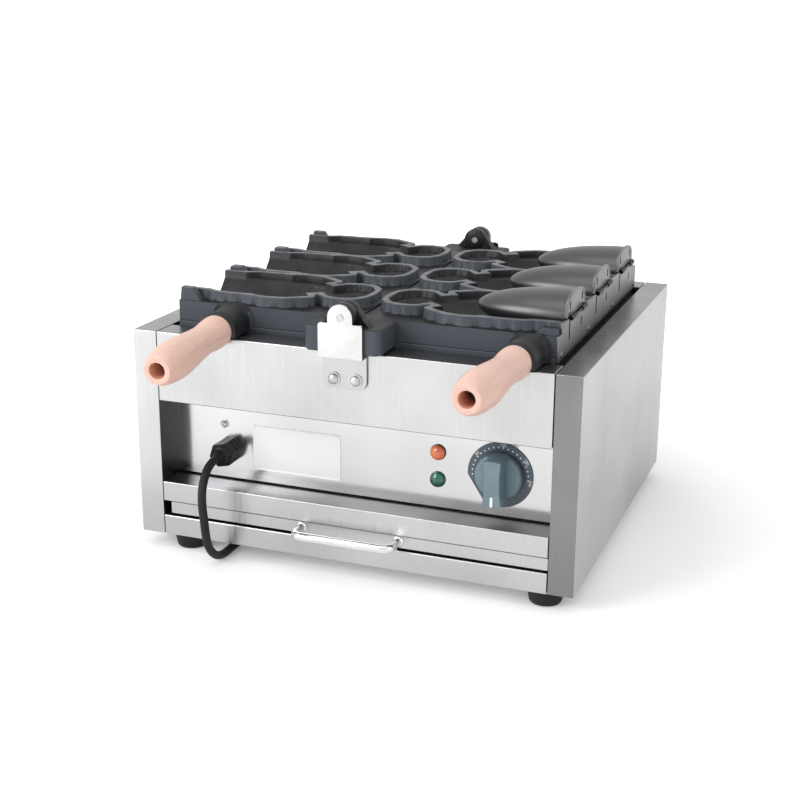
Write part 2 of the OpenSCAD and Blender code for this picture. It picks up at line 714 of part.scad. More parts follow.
module left_heater() color("slategray") placed() mirror([1, 0, 0]) heater();
module right_heater() color("slategray") placed() heater();

module heater_brackets() color("darkgray") placed() for (y = [-60, 90])
    translate([sheet - side_x, y, heater_z - heater_r - 3]) cube([body_w - 2 * sheet, 15, 3]);

module thermostat() color("ivory") placed() translate([knob_x, 0, knob_z]) difference() {
    union() {
        translate([-17, sheet - control_y, -17]) cube([34, 28, 34]);
        rod_y(4.9, -control_y - 1.8, 1.8 + sheet);
    }
    rod_y(spindle_r + pin_fit, -control_y - 3, 20);
}

// Sensing bulb between the legs of the right heater, with its capillary tube
bulb_x = (heater_legs[0] + heater_legs[1]) / 2;
bulb_z = heater_z - 3;
capillary_r = 1;
module thermostat_bulb() color("peru") placed() {
    back = sheet - control_y + 28;
    corner_y = back + 5;
    translate([bulb_x, 0, bulb_z]) {
        rod_y(3, -20, 100);
        rod_y(capillary_r, corner_y, -20 - corner_y);
        translate([0, corner_y, 0]) sphere(r = capillary_r);
        translate([0, corner_y, knob_z - bulb_z]) cylinder(r = capillary_r, h = bulb_z - knob_z);
        translate([0, corner_y, knob_z - bulb_z]) sphere(r = capillary_r);
    }
    translate([bulb_x, corner_y, knob_z]) rotate([0, 90, 0]) cylinder(r = capillary_r, h = knob_x - bulb_x);
    translate([knob_x, corner_y, knob_z]) sphere(r = capillary_r);
    translate([knob_x, 0, knob_z]) rod_y(capillary_r, back, 5);
}

module dial_ring() color("slategray") placed() translate([knob_x, 0, knob_z]) difference() {
    rod_y(dial_r, -control_y - dial_t, dial_t);
    rod_y(knob_neck_r + 0.4, -control_y - 3, 6);
    rotate([0, 147, 0]) translate([dial_r - 3.5, -control_y - 3, -dial_r]) cube([10, 6, 2 * dial_r]);
}

// Controls on the panel

dial_t = 1;
knob_neck_r = 9;
spindle_r = 3;

// Round lens with a slightly domed front
module lamp_lens(z, c) color(c) placed() translate([lamp_x, -control_y, z]) rotate([90, 0, 0])
    rotate_extrude() polygon([[0, 0], [lamp_r, 0], [lamp_r, 3], [lamp_r * 0.9, 4.2],
        [lamp_r * 0.5, 5.2], [0, 5.6]]);

module orange_lamp() lamp_lens(upper_lamp_z, "orangered");
module green_lamp() lamp_lens(lower_lamp_z, "seagreen");

module lamp_holders() color(black_c) placed() for (z = [upper_lamp_z, lower_lamp_z])
    translate([lamp_x, 0, z]) {
        rod_y(5, -control_y, 26);
        rod_y(8, sheet - control_y, 4);
    }

module cable_gland() color(black_c) placed() translate([cord_x, 0, gland_z]) difference() {
    union() {
        rotate([90, 0, 0]) translate([0, 0, control_y]) {
            cylinder(d = gland_af / cos(30), h = 6, $fn = 6);
            translate([0, 0, 6]) rotate_extrude() polygon([[0, 0], [gland_af / 2, 0], [gland_af / 2, 10],
                [9.5, 13], [7, gland_len - 6], [0, gland_len - 6]]);
        }
        rod_y(7.9, -control_y, 13);
    }
    rod_y(4, -control_y - gland_len + 6, gland_len + 10);
}

module gland_locknut() color(black_c) placed() translate([cord_x, 0, gland_z]) difference() {
    translate([0, sheet - control_y, 0]) rotate([-90, 0, 0]) cylinder(d = gland_af / cos(30), h = 5, $fn = 6);
    rod_y(7.9, -control_y, 20);
}

earth_x = cord_x - 4;
earth_z = gland_z + 26;
module earth_screw() color("silver") placed() {
    pan_screw(earth_x, -control_y - 0.8, earth_z, 3, 2, 16);
    translate([earth_x, 0, earth_z]) difference() {
        rod_y(4.4, -control_y - 0.8, 0.8);
        rod_y(2, -control_y - 2, 4);
    }
}

plate_x = cord_x + 26;
plate_z = gland_z - 16;
module rating_plate() color("white") placed() plate_xz(-control_y - 0.5, 0.5)
    polygon(soft_box(plate_x, plate_z, plate_x + plate_w, plate_z + plate_h, 2));

module terminal_block() color("ivory") placed() {
    translate([-70, -shield_y - 22, ledge_top]) cube([60, 20, 8]);
    for (i = [0:2]) translate([-60 + 20 * i, -shield_y - 12, ledge_top + 8]) cylinder(r = 3.5, h = 3);
}

// Hinge brackets and pins

bracket_screw_x = [-10.5, 10.5];
bracket_screw_z = body_h - 25;
bracket_low = body_h - 34;
bracket_web_z = body_h - 3;
shoulder_z = hinge_rise - 5.3;
module hinge_bracket() difference() {
    union() {
        plate_xz(-front_y - bracket_t, bracket_t)
            polygon(rounded([[-21, bracket_low], [21, bracket_low], [21, bracket_web_z + bracket_t],
                [-21, bracket_web_z + bracket_t]], [8, 8, 0.5, 0.5]));
        translate([-21, -bracket_face, bracket_web_z]) cube([42, bracket_out, bracket_t]);
        plate_xz(-bracket_face, bracket_t) {
            polygon(rounded([[-21, bracket_web_z], [21, bracket_web_z], [21, shoulder_z], [-21, shoulder_z]],
                [0.5, 0.5, 3, 3]));
            translate([0, hinge_rise]) circle(r = 11.7);
            translate([-11.7, shoulder_z]) square([23.4, hinge_rise - shoulder_z]);
        }
    }
    translate([0, 0, hinge_rise]) rod_y(hinge_pin_r, -bracket_face - 1, 5);
    for (x = bracket_screw_x) translate([x, 0, bracket_screw_z]) rod_y(2.6, -front_y - 5, 10);
}

module front_hinge_bracket() color(steel_c) placed() hinge_bracket();
module rear_hinge_bracket() color(steel_c) placed() mirror([0, 1, 0]) hinge_bracket();

module bracket_screws() color("silver") placed() front_and_rear() for (x = bracket_screw_x) {
    washer_y = -front_y - bracket_t - 1;
    pan_screw(x, washer_y, bracket_screw_z, 5, 2.5, bracket_t + 1 + sheet + 4);
    translate([x, 0, bracket_screw_z]) difference() {
        rod_y(6.5, washer_y, 1);
        rod_y(2.5, washer_y - 1, 4);
    }
}

module hinge_pins() color("silver") placed() front_and_rear() translate([0, 0, hinge_rise])
    rod_y(hinge_pin_r, -pin_outer_y, pin_outer_y - pin_inner_y);

module feet() color(black_c) placed() at_feet() translate([0, 0, -foot_h]) rotate_extrude()
    polygon([[3.5, 2], [3.5, foot_h - 3], [2.5, foot_h - 3], [2.5, foot_h], [foot_d / 2, foot_h],
        [foot_d / 2 - 0.5, foot_h - 2], [foot_d / 2 - 2, 0], [6, 0], [6, 2]]);

module foot_screws() color("silver") placed() at_feet() {
    translate([0, 0, -3 - 3]) cylinder(r = 3.4, h = 3);
    translate([0, 0, -3]) cylinder(r = 2.4, h = 3 + sheet);
    translate([0, 0, sheet]) cylinder(r = 4.6, h = 4, $fn = 6);
}

// Angles on the base pan that the tray slides on
module tray_runners() color("darkgray") placed() difference() {
    right_and_left() plate_xz(15 - front_y, body_d - 30)
        polygon([[tray_x - 12, runner_top - 1.2], [tray_x - 12, runner_top], [tray_x + 2, runner_top],
            [tray_x + 2, sheet], [tray_x + 0.8, sheet], [tray_x + 0.8, runner_top - 1.2]]);
    at_feet() cylinder(r = 6.5, h = 8);
}

// Moulds

left_block_top = hinge_rise + block_rise;
right_block_top = hinge_rise - block_rise - closed_gap;

module left_mould() color(iron_c) placed() mirror([1, 0, 0]) {
    mould_casting(left_block_top, outer_ring_y - ring_w, inner_ring_y - ring_w);
    difference() {
        handle_frame(left_handle_x, -handle_tilt, left_droop) handle_lug();
        translate([-side_x, -mould_side + eps, 0]) cube([body_w, body_d, 400]);
    }
}

module right_mould() color(iron_c) placed() {
    mould_casting(right_block_top, inner_ring_y - ring_w, outer_ring_y - ring_w);
    difference() {
        handle_frame(right_handle_x, -handle_tilt, 0) handle_lug();
        translate([-side_x, -mould_side + eps, 0]) cube([body_w, body_d, 400]);
    }
}

module left_handle() placed() mirror([1, 0, 0])
    handle_frame(left_handle_x, -handle_tilt, left_droop) children();
module right_handle() placed() handle_frame(right_handle_x, -handle_tilt, 0) children();

module left_handle_rod() color(black_c) left_handle() handle_rod();
module left_grip() color(wood_c) left_handle() grip();
module left_grip_nut() color("silver") left_handle() grip_nut();
module right_handle_rod() color(black_c) right_handle() handle_rod();
module right_grip() color(wood_c) right_handle() grip();
module right_grip_nut() color("silver") right_handle() grip_nut();

// Steel strip on the end of the right mould, with the lower knuckles and slots
slot_y = [-20, 20];
slot_z = hinge_rise - 14;
module end_strip() color(steel_c) placed() difference() {
    union() {
        bar_x(mould_end, leaf_t) polygon([[-mould_side, strip_bottom], [mould_side, strip_bottom],
            [mould_side, slab_top], [mould_side - 12, slab_top], [mould_side - 12, strip_top],
            [12 - mould_side, strip_top], [12 - mould_side, slab_top], [-mould_side, slab_top]]);
        for (row = fish_rows, y = strip_knuckles)
            translate([0, row * fish_pitch, 0]) knuckle(y, strip_top - 2, 2);
    }
    for (row = fish_rows) translate([0, row * fish_pitch, 0]) {
        translate([barrel_x, 0, barrel_z]) rod_y(leaf_pin_r, -40, 80);
        translate([mould_end - 1, -cone_half_w - 2, strip_top - 19]) cube([leaf_t + 2, 1.4, 20]);
        for (y = slot_y) bar_x(mould_end - 1, leaf_t + 2) translate([y, slot_z])
            polygon(soft_box(-2, -4, 2, 4, 1.99));
    }
}

// Countersunk screws that hold the strip on the solid parts of the mould's end
module strip_screws() color("silver") placed() for (y = [-1.5, -0.5, 0.5, 1.5])
    translate([mould_end + leaf_t, y * fish_pitch * 0.985, strip_bottom + 5]) rotate([0, 90, 0])
        rotate_extrude() polygon([[0, 0], [3, 0], [2.6, 0.7], [1.6, 1.2], [0, 1.3]]);

module insert_hinge_pins() color("silver") placed() for (row = fish_rows)
    translate([barrel_x, row * fish_pitch, barrel_z]) rod_y(leaf_pin_r, leaf_knuckles[0], 56);

module front_insert() insert_body(-1);
module middle_insert() insert_body(0);
module rear_insert() insert_body(1);
module front_insert_leaf() insert_leaf(-1);
module middle_insert_leaf() insert_leaf(0);
module rear_insert_leaf() insert_leaf(1);

// Drip tray

tray_screw_z = (tray_z + tray_top) / 2;
tray_handle_x = 2;
module drip_tray() color(steel_c) placed() difference() {
    union() {
        translate([-tray_x, -tray_front, tray_z]) cube([2 * tray_x, tray_d, tray_top - tray_z]);
        translate([0, -tray_front, tray_z])
            cube([open_x - tray_right_gap, tray_sheet, tray_top - tray_z]);
    }
    translate([tray_sheet - tray_x, tray_sheet - tray_front, tray_z + tray_sheet])
        cube([2 * (tray_x - tray_sheet), tray_d - 2 * tray_sheet, tray_top]);
    for (s = [-1, 1]) translate([tray_handle_x + s * handle_span / 2, 0, tray_screw_z])
        rod_y(1.8, -tray_front - 1, 4);
}

module tray_handle() color("lightgray") placed() translate([tray_handle_x, -tray_front, tray_screw_z]) {
    bar_r = handle_bar_d / 2;
    bend = 9;
    reach = handle_out - bar_r;
    difference() {
        union() {
            for (s = [-1, 1]) translate([s * handle_span / 2, 0, 0]) rod_y(bar_r, bend - reach, reach - bend);
            translate([bend - handle_span / 2, -reach, 0]) rotate([0, 90, 0])
                cylinder(r = bar_r, h = handle_span - 2 * bend);
            right_and_left() translate([handle_span / 2 - bend, bend - reach, 0])
                rotate([0, 0, -90]) rotate_extrude(angle = 90) translate([bend, 0]) circle(r = bar_r);
        }
        for (s = [-1, 1]) translate([s * handle_span / 2, 0, 0]) rod_y(1.7, -7, 8);
    }
}

module tray_handle_screws() color("silver") placed() for (s = [-1, 1])
    translate([tray_handle_x + s * handle_span / 2, 0, tray_screw_z]) mirror([0, 1, 0])
        pan_screw(0, tray_front - tray_sheet, 0, 3.2, 1.7, 7);

// Knob

module knob() color("slategray") placed() translate([knob_x, 0, knob_z]) {
    face = -control_y - dial_t - 1.5;
    difference() {
        union() {
            rotate([90, 0, 0]) translate([0, 0, -face]) rotate_extrude()
                polygon([[0, 0], [knob_r, 0], [knob_r, 5], [knob_r - 1.5, 6.5], [0, 6.5]]);
            translate([-knob_grip_w / 2, face - knob_out, 1 - knob_r])
                cube([knob_grip_w, knob_out - 4, 2 * knob_r - 2]);
        }
        rod_y(spindle_r, face - 8, 10);
    }
}

module thermostat_spindle() color("silver") placed() translate([knob_x, 0, knob_z])
    rod_y(spindle_r, -control_y - dial_t - 1.5 - 7, 1.5 + dial_t + 7 + 12);

// Mains lead

module cord_drop() color(black_c) placed() tube(drop_pts, cord_r, 10, [1, 0, 0]);
module cord_run() color(black_c) placed() tube(run_pts, cord_r, 10, [0, 0, 1]);

module cord_coil() color(black_c) placed() tube(coil_pts, cord_r, 6, [0, 0, 1]);
module cord_tail() color(black_c) placed() tube(plug_pts, cord_r, 10, [0, 0, 1]);

module mains_plug() color(black_c) placed() translate([plug_x, coil_end.y, plug_z]) rotate([0, 90, 0]) {
    rotate_extrude() polygon([[0, 0], [6, 0], [8, 14], [plug_r - 3, 22], [plug_r, 25], [plug_r, 38],
        [plug_r - 2, 40], [0, 40]]);
    for (s = [-1, 1]) translate([0, s * 9.5, 40]) {
        cylinder(r = 2.35, h = 18);
        translate([0, 0, 18]) sphere(r = 2.35);
    }
}

base_pan();
left_side_panel();
right_side_panel();
upper_front_panel();
upper_rear_panel();
control_panel();
ledge_rail();
bottom_rail();
back_cover();
back_screws();
support_frame();
heat_shield();
left_heater();
right_heater();
heater_brackets();
thermostat();
thermostat_bulb();
dial_ring();
orange_lamp();
green_lamp();
lamp_holders();
cable_gland();
gland_locknut();
earth_screw();
rating_plate();
terminal_block();
front_hinge_bracket();
rear_hinge_bracket();
bracket_screws();
hinge_pins();
feet();
foot_screws();
tray_runners();
left_mould();
left_handle_rod();
left_grip();
left_grip_nut();
right_mould();
end_strip();
strip_screws();
insert_hinge_pins();
right_handle_rod();
right_grip();
right_grip_nut();
front_insert();
front_insert_leaf();
middle_insert();
middle_insert_leaf();
rear_insert();
rear_insert_leaf();
drip_tray();
tray_handle();
tray_handle_screws();
knob();
thermostat_spindle();
cord_drop();
cord_run();
cord_coil();
cord_tail();
mains_plug();
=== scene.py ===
import math

import bmesh
import bpy
import numpy as np
from mathutils import Matrix, Vector


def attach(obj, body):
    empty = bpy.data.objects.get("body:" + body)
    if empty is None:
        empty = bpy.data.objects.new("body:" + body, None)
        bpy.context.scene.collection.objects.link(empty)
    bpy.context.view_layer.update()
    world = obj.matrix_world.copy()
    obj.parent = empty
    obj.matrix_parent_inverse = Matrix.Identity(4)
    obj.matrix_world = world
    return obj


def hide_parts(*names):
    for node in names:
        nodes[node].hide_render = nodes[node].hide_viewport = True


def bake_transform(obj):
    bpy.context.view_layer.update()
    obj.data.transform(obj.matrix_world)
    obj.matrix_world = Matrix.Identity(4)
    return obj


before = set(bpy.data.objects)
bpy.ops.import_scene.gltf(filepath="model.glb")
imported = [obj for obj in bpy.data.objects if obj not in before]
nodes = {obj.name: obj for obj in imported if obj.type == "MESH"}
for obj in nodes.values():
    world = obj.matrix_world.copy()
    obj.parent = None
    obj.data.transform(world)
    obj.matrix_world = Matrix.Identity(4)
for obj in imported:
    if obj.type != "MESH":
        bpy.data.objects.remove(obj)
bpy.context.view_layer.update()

# Lengths below are in mm over the middle of the steel body's underside; shift moves them to the part's origin.
shift = (0.0, 54.1087, 15.0)


def addObject(name, data):
    thing = bpy.data.objects.new(name, data)
    bpy.context.scene.collection.objects.link(thing)
    return thing


# Camera
view = {
    "place": (0.4670, -1.2471, 0.5492),
    "yaw": -20.51,
    "pitch": 17.37,
    "roll": 0.367,
    "lens": 63.58,
}


def makeCamera():
    yaw, pitch, roll = (math.radians(view[k]) for k in ("yaw", "pitch", "roll"))
    forward = Vector((math.sin(yaw) * math.cos(pitch), math.cos(yaw) * math.cos(pitch), -math.sin(pitch)))
    right = Vector((math.cos(yaw), -math.sin(yaw), 0))
    up = right.cross(forward)
    side = math.cos(roll) * right + math.sin(roll) * up
    top = math.cos(roll) * up - math.sin(roll) * right
    data = bpy.data.cameras.new("camera")
    data.lens = view["lens"]
    data.sensor_width = 36
    data.clip_start = 0.01
    camera = addObject("camera", data)
    camera.matrix_world = Matrix((side, top, -forward)).transposed().to_4x4()
    camera.location = view["place"]
    bpy.context.scene.camera = camera


makeCamera()
print("camera ready")


def place(points):
    return [tuple((v + s) / 1000 for v, s in zip(p, shift)) for p in points]


def addPiece(name, points, faces, material=None):
    mesh = bpy.data.meshes.new(name)
    mesh.from_pydata(place(points), [], faces)
    mesh.update()
    if material:
        mesh.materials.append(material)
    return addObject(name, mesh)


# Smooth faces with hard edges where they turn by more than an angle; wide flat faces stay flat beside rounded edges
def smoothFaces(piece, sharp):
    bm = bmesh.new()
    bm.from_mesh(piece.data)
    for f in bm.faces:
        f.smooth = True
    for e in bm.edges:
        if len(e.link_faces) != 2:
            continue
        turn = math.degrees(e.calc_face_angle(0))
        areas = sorted(f.calc_area() for f in e.link_faces)
        beside = turn > 3 and areas[1] > 5e-5 and areas[0] < areas[1] / 6
        e.smooth = turn < sharp and not beside
    bm.to_mesh(piece.data)
    bm.free()


def circle(sides):
    return [2 * math.pi * j / sides for j in range(sides)]


def rectangle(x0, y0, x1, y1):
    return [(x0, y0), (x1, y0), (x1, y1), (x0, y1)]


# Joins rings of equally many points into a skin, with its ends closed by caps or led round to the start by loop
def stackRings(rings, caps=True, loop=False):
    count = len(rings[0])
    faces = []
    for i in range(len(rings) if loop else len(rings) - 1):
        n = (i + 1) % len(rings)
        for j in range(count):
            k = (j + 1) % count
            faces.append((i * count + j, i * count + k, n * count + k, n * count + j))
    if caps:
        faces.append(tuple(reversed(range(count))))
        faces.append(tuple((len(rings) - 1) * count + j for j in range(count)))
    return [tuple(p) for ring in rings for p in ring], faces


# Mains lead: hangs from the gland, runs under the body and is wound up behind it
lead = {
    "diameter": 8.0,
    "side": -134.0,
    "exitY": -185.0,
    "exitZ": 83.0,
    "floorZ": -11.0,
    "coilY": 262.0,
    "coilRadius": 54.0,
    "coilStep": 10.0,
    "coilLayer": 9.0,
    "layerTurns": 1.375,
    "climbTurns": 0.5,
    "tail": 80.0,
    "plugRadius": 18.0,
    "sides": 14,
}


def leadRoute():
    x, y, z, low = lead["side"], lead["exitY"], lead["exitZ"], lead["floorZ"]
    top = [(0, 0, 0), (0, 5, 0), (0.4, 18, -2.6), (1.2, 29, -10), (2.2, 36.4, -21), (3.3, 39, -34)]
    bottom = [(5.6, 39, 34), (6.2, 36.4, 21), (6.6, 29, 10), (6.9, 18, 2.6), (7, 5, 0), (7, -4, 0)]
    route = [(x + a, y - b, z + c) for a, b, c in top]
    route.append((x + 4.5, y - 39, (z + low) / 2))
    route += [(x + a, y - b, low + c) for a, b, c in bottom]
    sway = [7, 7, 6.5, 5.5, 4.5, 4, 3.5, 3.5, 3.5, 3, 3, 2.5, 2, 1, 0.5, 0, 0, 0, 0]
    first, last = y + 4, lead["coilY"] - 2 * lead["diameter"]
    route += [(x + s, first + (last - first) * i / 18, low) for i, s in enumerate(sway) if i]
    route.append((x, lead["coilY"] - lead["diameter"], low))
    route.append((x, lead["coilY"], low))
    turns = 2 * lead["layerTurns"] + lead["climbTurns"]
    steps = round(turns * 24)
    centre = x + lead["coilRadius"]
    for i in range(1, steps):
        t = turns * i / steps
        inward = min(t, lead["layerTurns"], turns - t) if t < turns else 0
        radius = lead["coilRadius"] - lead["coilStep"] * max(inward, 0)
        height = lead["coilLayer"] * min(max((t - lead["layerTurns"]) / lead["climbTurns"], 0), 1)
        a = math.radians(180 - 360 * t)
        route.append((centre + radius * math.cos(a), lead["coilY"] + radius * math.sin(a), low + height))
    ex, ey, ez = centre, lead["coilY"] + lead["coilRadius"], low + lead["coilLayer"]
    plugX = centre + 2 * lead["diameter"] + lead["tail"]
    plugZ = -shift[2] + lead["plugRadius"]
    route += [(ex, ey, ez), (ex + 8, ey, ez), (ex + 16, ey, ez), (ex + 24, ey, ez), (ex + 41, ey, ez + 0.8)]
    route += [(ex + 61, ey, ez + 3), (ex + 76, ey, ez + 4.6), (plugX - 8, ey, plugZ), (plugX, ey, plugZ)]
    return route


def lengthAlong(line):
    return np.concatenate([[0], np.cumsum(np.linalg.norm(np.diff(line, axis=0), axis=1))])


def evenPoints(line, count):
    along = lengthAlong(line)
    marks = np.linspace(0, along[-1], count + 1)
    return np.stack([np.interp(marks, along, column) for column in line.T], 1)


def resample(line, step):
    return evenPoints(line, max(int(round(lengthAlong(line)[-1] / step)), 2))


# The route as an even, smooth line of points
def smoothLine(points, step):
    p = np.array(points, float)
    dense = []
    for i in range(len(p) - 1):
        a, b, c, d = p[max(i - 1, 0)], p[i], p[i + 1], p[min(i + 2, len(p) - 1)]
        for t in np.linspace(0, 1, 12, endpoint=False):
            square, cube = 2 * a - 5 * b + 4 * c - d, 3 * b - a - 3 * c + d
            dense.append(0.5 * (2 * b + (c - a) * t + square * t**2 + cube * t**3))
    dense = np.array(dense + [p[-1]])
    length = lengthAlong(dense)[-1]
    return evenPoints(dense, max(int(length / step), 2)), length


# A round tube along a line, with closed ends
def tubeMesh(line, radius, sides):
    line = np.array(line, float)
    tangent = np.gradient(line, axis=0)
    tangent /= np.linalg.norm(tangent, axis=1)[:, None]
    start = np.cross(tangent[0], (0, 0, 1.0))
    if np.linalg.norm(start) < 0.1:
        start = np.cross(tangent[0], (1.0, 0, 0))
    normal = start / np.linalg.norm(start)
    rings = []
    for c, t in zip(line, tangent):
        normal = normal - t * (normal @ t)
        normal /= np.linalg.norm(normal)
        other = np.cross(t, normal)
        rings.append([c + radius * (math.cos(a) * normal + math.sin(a) * other) for a in circle(sides)])
    return stackRings(rings)


def makeLead():
    line, length = smoothLine(leadRoute(), 5.0)
    piece = addPiece("mainsLead", *tubeMesh(line, lead["diameter"] / 2, lead["sides"]))
    smoothFaces(piece, 38)
    return piece, place(line), length / 1000


leadPiece, leadPath, leadLength = makeLead()
print(f"mains lead {leadLength:.3f} m")


# Fills a node's inputs, given by name or number: a socket or a list of sockets is linked, anything else is set
def feed(tree, node, inputs):
    for key, value in inputs.items():
        for source in value if isinstance(value, list) else [value]:
            if isinstance(source, bpy.types.NodeSocket):
                tree.links.new(source, node.inputs[key])
            else:
                node.inputs[key].default_value = source


def addNode(tree, kind, inputs=None, **settings):
    node = tree.nodes.new(kind)
    for key, value in settings.items():
        setattr(node, key, value)
    feed(tree, node, inputs or {})
    return node


# A group with named inputs and outputs; gives the group, the sockets that its inputs arrive at, and its end node
def nodeGroup(name, family, inputs, outputs, result="Float"):
    group = bpy.data.node_groups.new(name, f"{family}NodeTree")
    for label, kind, value in inputs:
        socket = group.interface.new_socket(label, in_out="INPUT", socket_type=f"NodeSocket{kind}")
        if value is not None:
            socket.default_value = value
    for label in outputs:
        group.interface.new_socket(label, in_out="OUTPUT", socket_type=f"NodeSocket{result}")
    return group, group.nodes.new("NodeGroupInput").outputs, group.nodes.new("NodeGroupOutput")


# Fine straight brushing: noise stretched along one axis by the Stretch vector
def brushGroup():
    group, start, end = nodeGroup("brushing", "Shader", [
        ("Vector", "Vector", None),
        ("Stretch", "Vector", (900, 900, 12)),
        ("Cloud", "Float", 9.0),
    ], ["Grain", "Cloud"])
    scale = addNode(group, "ShaderNodeVectorMath", {0: start["Vector"], 1: start["Stretch"]}, operation="MULTIPLY")
    fine = addNode(group, "ShaderNodeTexNoise",
                   {"Vector": scale.outputs[0], "Scale": 1.0, "Detail": 3.0, "Roughness": 0.6})
    cloud = addNode(group, "ShaderNodeTexNoise",
                    {"Vector": start["Vector"], "Scale": start["Cloud"], "Detail": 2.0, "Roughness": 0.5})
    feed(group, end, {"Grain": fine.outputs["Fac"], "Cloud": cloud.outputs["Fac"]})
    return group


# Sand-cast or moulded skin: small pits over slow unevenness
def skinGroup():
    group, start, end = nodeGroup("skin", "Shader", [
        ("Vector", "Vector", None),
        ("Pits", "Float", 700.0),
        ("Waves", "Float", 30.0),
    ], ["Pits", "Waves"])
    for label, roughness in (("Pits", 0.62), ("Waves", 0.55)):
        noise = addNode(group, "ShaderNodeTexNoise",
                        {"Vector": start["Vector"], "Scale": start[label], "Detail": 3.0, "Roughness": roughness})
        feed(group, end, {label: noise.outputs["Fac"]})
    return group


brushing = brushGroup()
skin = skinGroup()


# One finish: two colours mixed by a mask, roughness between two values, and a bump
def finish(name, colours, rough, bump, group, values, detail, slow, principled, spread=(0.35, 0.65)):
    material = bpy.data.materials.new(name)
    material.use_nodes = True
    tree = material.node_tree
    where = addNode(tree, "ShaderNodeTexCoord").outputs["Object"]
    pattern = addNode(tree, "ShaderNodeGroup", {"Vector": where, **values}, node_tree=group).outputs
    ramp = addNode(tree, "ShaderNodeValToRGB", {"Fac": pattern[slow]})
    for stop, spot, colour in zip(ramp.color_ramp.elements, spread, colours):
        stop.position, stop.color = spot, (*colour, 1)
    gloss = addNode(tree, "ShaderNodeMapRange", {"Value": pattern[detail], "From Min": 0.3, "From Max": 0.7,
                                                 "To Min": rough[0], "To Max": rough[1]})
    relief = addNode(tree, "ShaderNodeBump", {"Height": pattern[detail], "Strength": bump[0], "Distance": bump[1]})
    feed(tree, tree.nodes["Principled BSDF"], {
        "Base Color": ramp.outputs["Color"],
        "Roughness": gloss.outputs["Result"],
        "Normal": relief.outputs["Normal"],
        **principled,
    })
    return material


def brushedFinish(name, dark, light, rough, stretch, bump=0.12, metallic=1.0):
    return finish(name, (dark, light), rough, (bump, 0.0004), brushing,
                  {"Stretch": stretch, "Cloud": 7.0}, "Grain", "Cloud", {"Metallic": metallic})


def skinFinish(name, dark, light, rough, pits, waves, bump, principled):
    return finish(name, (dark, light), rough, bump, skin, {"Pits": pits, "Waves": waves}, "Pits", "Waves", principled)


# Seasoned cast iron with a random mottle; blacker where it faces up and bluish grey on its sides, a painted shade set
# by the way each face turns
def castFacingShadeFinish(name, dark, light, rough, gloss):
    material = skinFinish(name, dark, light, rough, 900, 26, (0.22, 0.0004), {"Specular IOR Level": gloss})
    tree = material.node_tree
    find = {n.type: n for n in tree.nodes}
    apart = addNode(tree, "ShaderNodeSeparateXYZ", {0: find["TEX_COORD"].outputs["Normal"]})
    # Painted shade: the colour turns lighter as a face turns from up to sideways, added to the random waves
    side = addNode(tree, "ShaderNodeMapRange", {"Value": apart.outputs["Z"], "From Min": 0.85, "From Max": 0.3,
                                                "To Min": 0.0, "To Max": 0.75})
    mottleAndFacingShade = addNode(tree, "ShaderNodeMath", {0: find["GROUP"].outputs["Waves"], 1: 0.5, 2: side.outputs["Result"]},
                     operation="MULTIPLY_ADD")
    feed(tree, find["VALTORGB"], {"Fac": mottleAndFacingShade.outputs[0]})
    return material


# How far the brushing is stretched along each axis
upright, level, crossTop, alongStrip = (1400, 1400, 14), (14, 1400, 1400), (14, 1400, 14), (1200, 14, 1200)

# Dark and light colour, roughness, stretch, and where they differ from the rest, bump and metallic
brushed = {
    "steelFront": ((0.45, 0.45, 0.452), (0.55, 0.55, 0.547), (0.24, 0.40), upright, 0.2),
    # Painted shade: a darker copy of the front steel for the right side panel
    "steelSide": ((0.35, 0.35, 0.352), (0.46, 0.46, 0.458), (0.26, 0.42), upright, 0.2),
    "steelShade": ((0.13, 0.128, 0.135), (0.27, 0.268, 0.275), (0.28, 0.42), level),
    "steelLevel": ((0.50, 0.50, 0.50), (0.60, 0.60, 0.595), (0.26, 0.40), level),
    "steelPanel": ((0.53, 0.53, 0.536), (0.62, 0.62, 0.624), (0.12, 0.20), upright, 0.04),
    # Painted shade and painted reflection: a darker copy of the steel for faces that look up
    "steelTop": ((0.24, 0.24, 0.245), (0.40, 0.40, 0.40), (0.24, 0.36), crossTop, 0.15),
    # Painted shade: a darker copy of the steel for the right post's front faces
    "steelPost": ((0.165, 0.165, 0.167), (0.235, 0.235, 0.237), (0.24, 0.36), upright, 0.15),
    # Painted shade: near-black steel for the inner returns beside the recess, the lip under the upper front panel and
    # the bracket's edges
    "steelRecessShade": ((0.030, 0.030, 0.031), (0.055, 0.055, 0.056), (0.25, 0.4), upright, 0.1, 0.7),
    "bracketFoot": ((0.40, 0.40, 0.40), (0.48, 0.48, 0.478), (0.22, 0.32), upright, 0.1),
    "darkStrip": ((0.16, 0.16, 0.166), (0.25, 0.25, 0.258), (0.34, 0.5), alongStrip, 0.12, 0.95),
    # Painted shade: a darker copy of the polished steel for the bracket's lower plate
    "plate": ((0.74, 0.75, 0.76), (0.80, 0.81, 0.82), (0.34, 0.44), level, 0.05, 0.35),
}

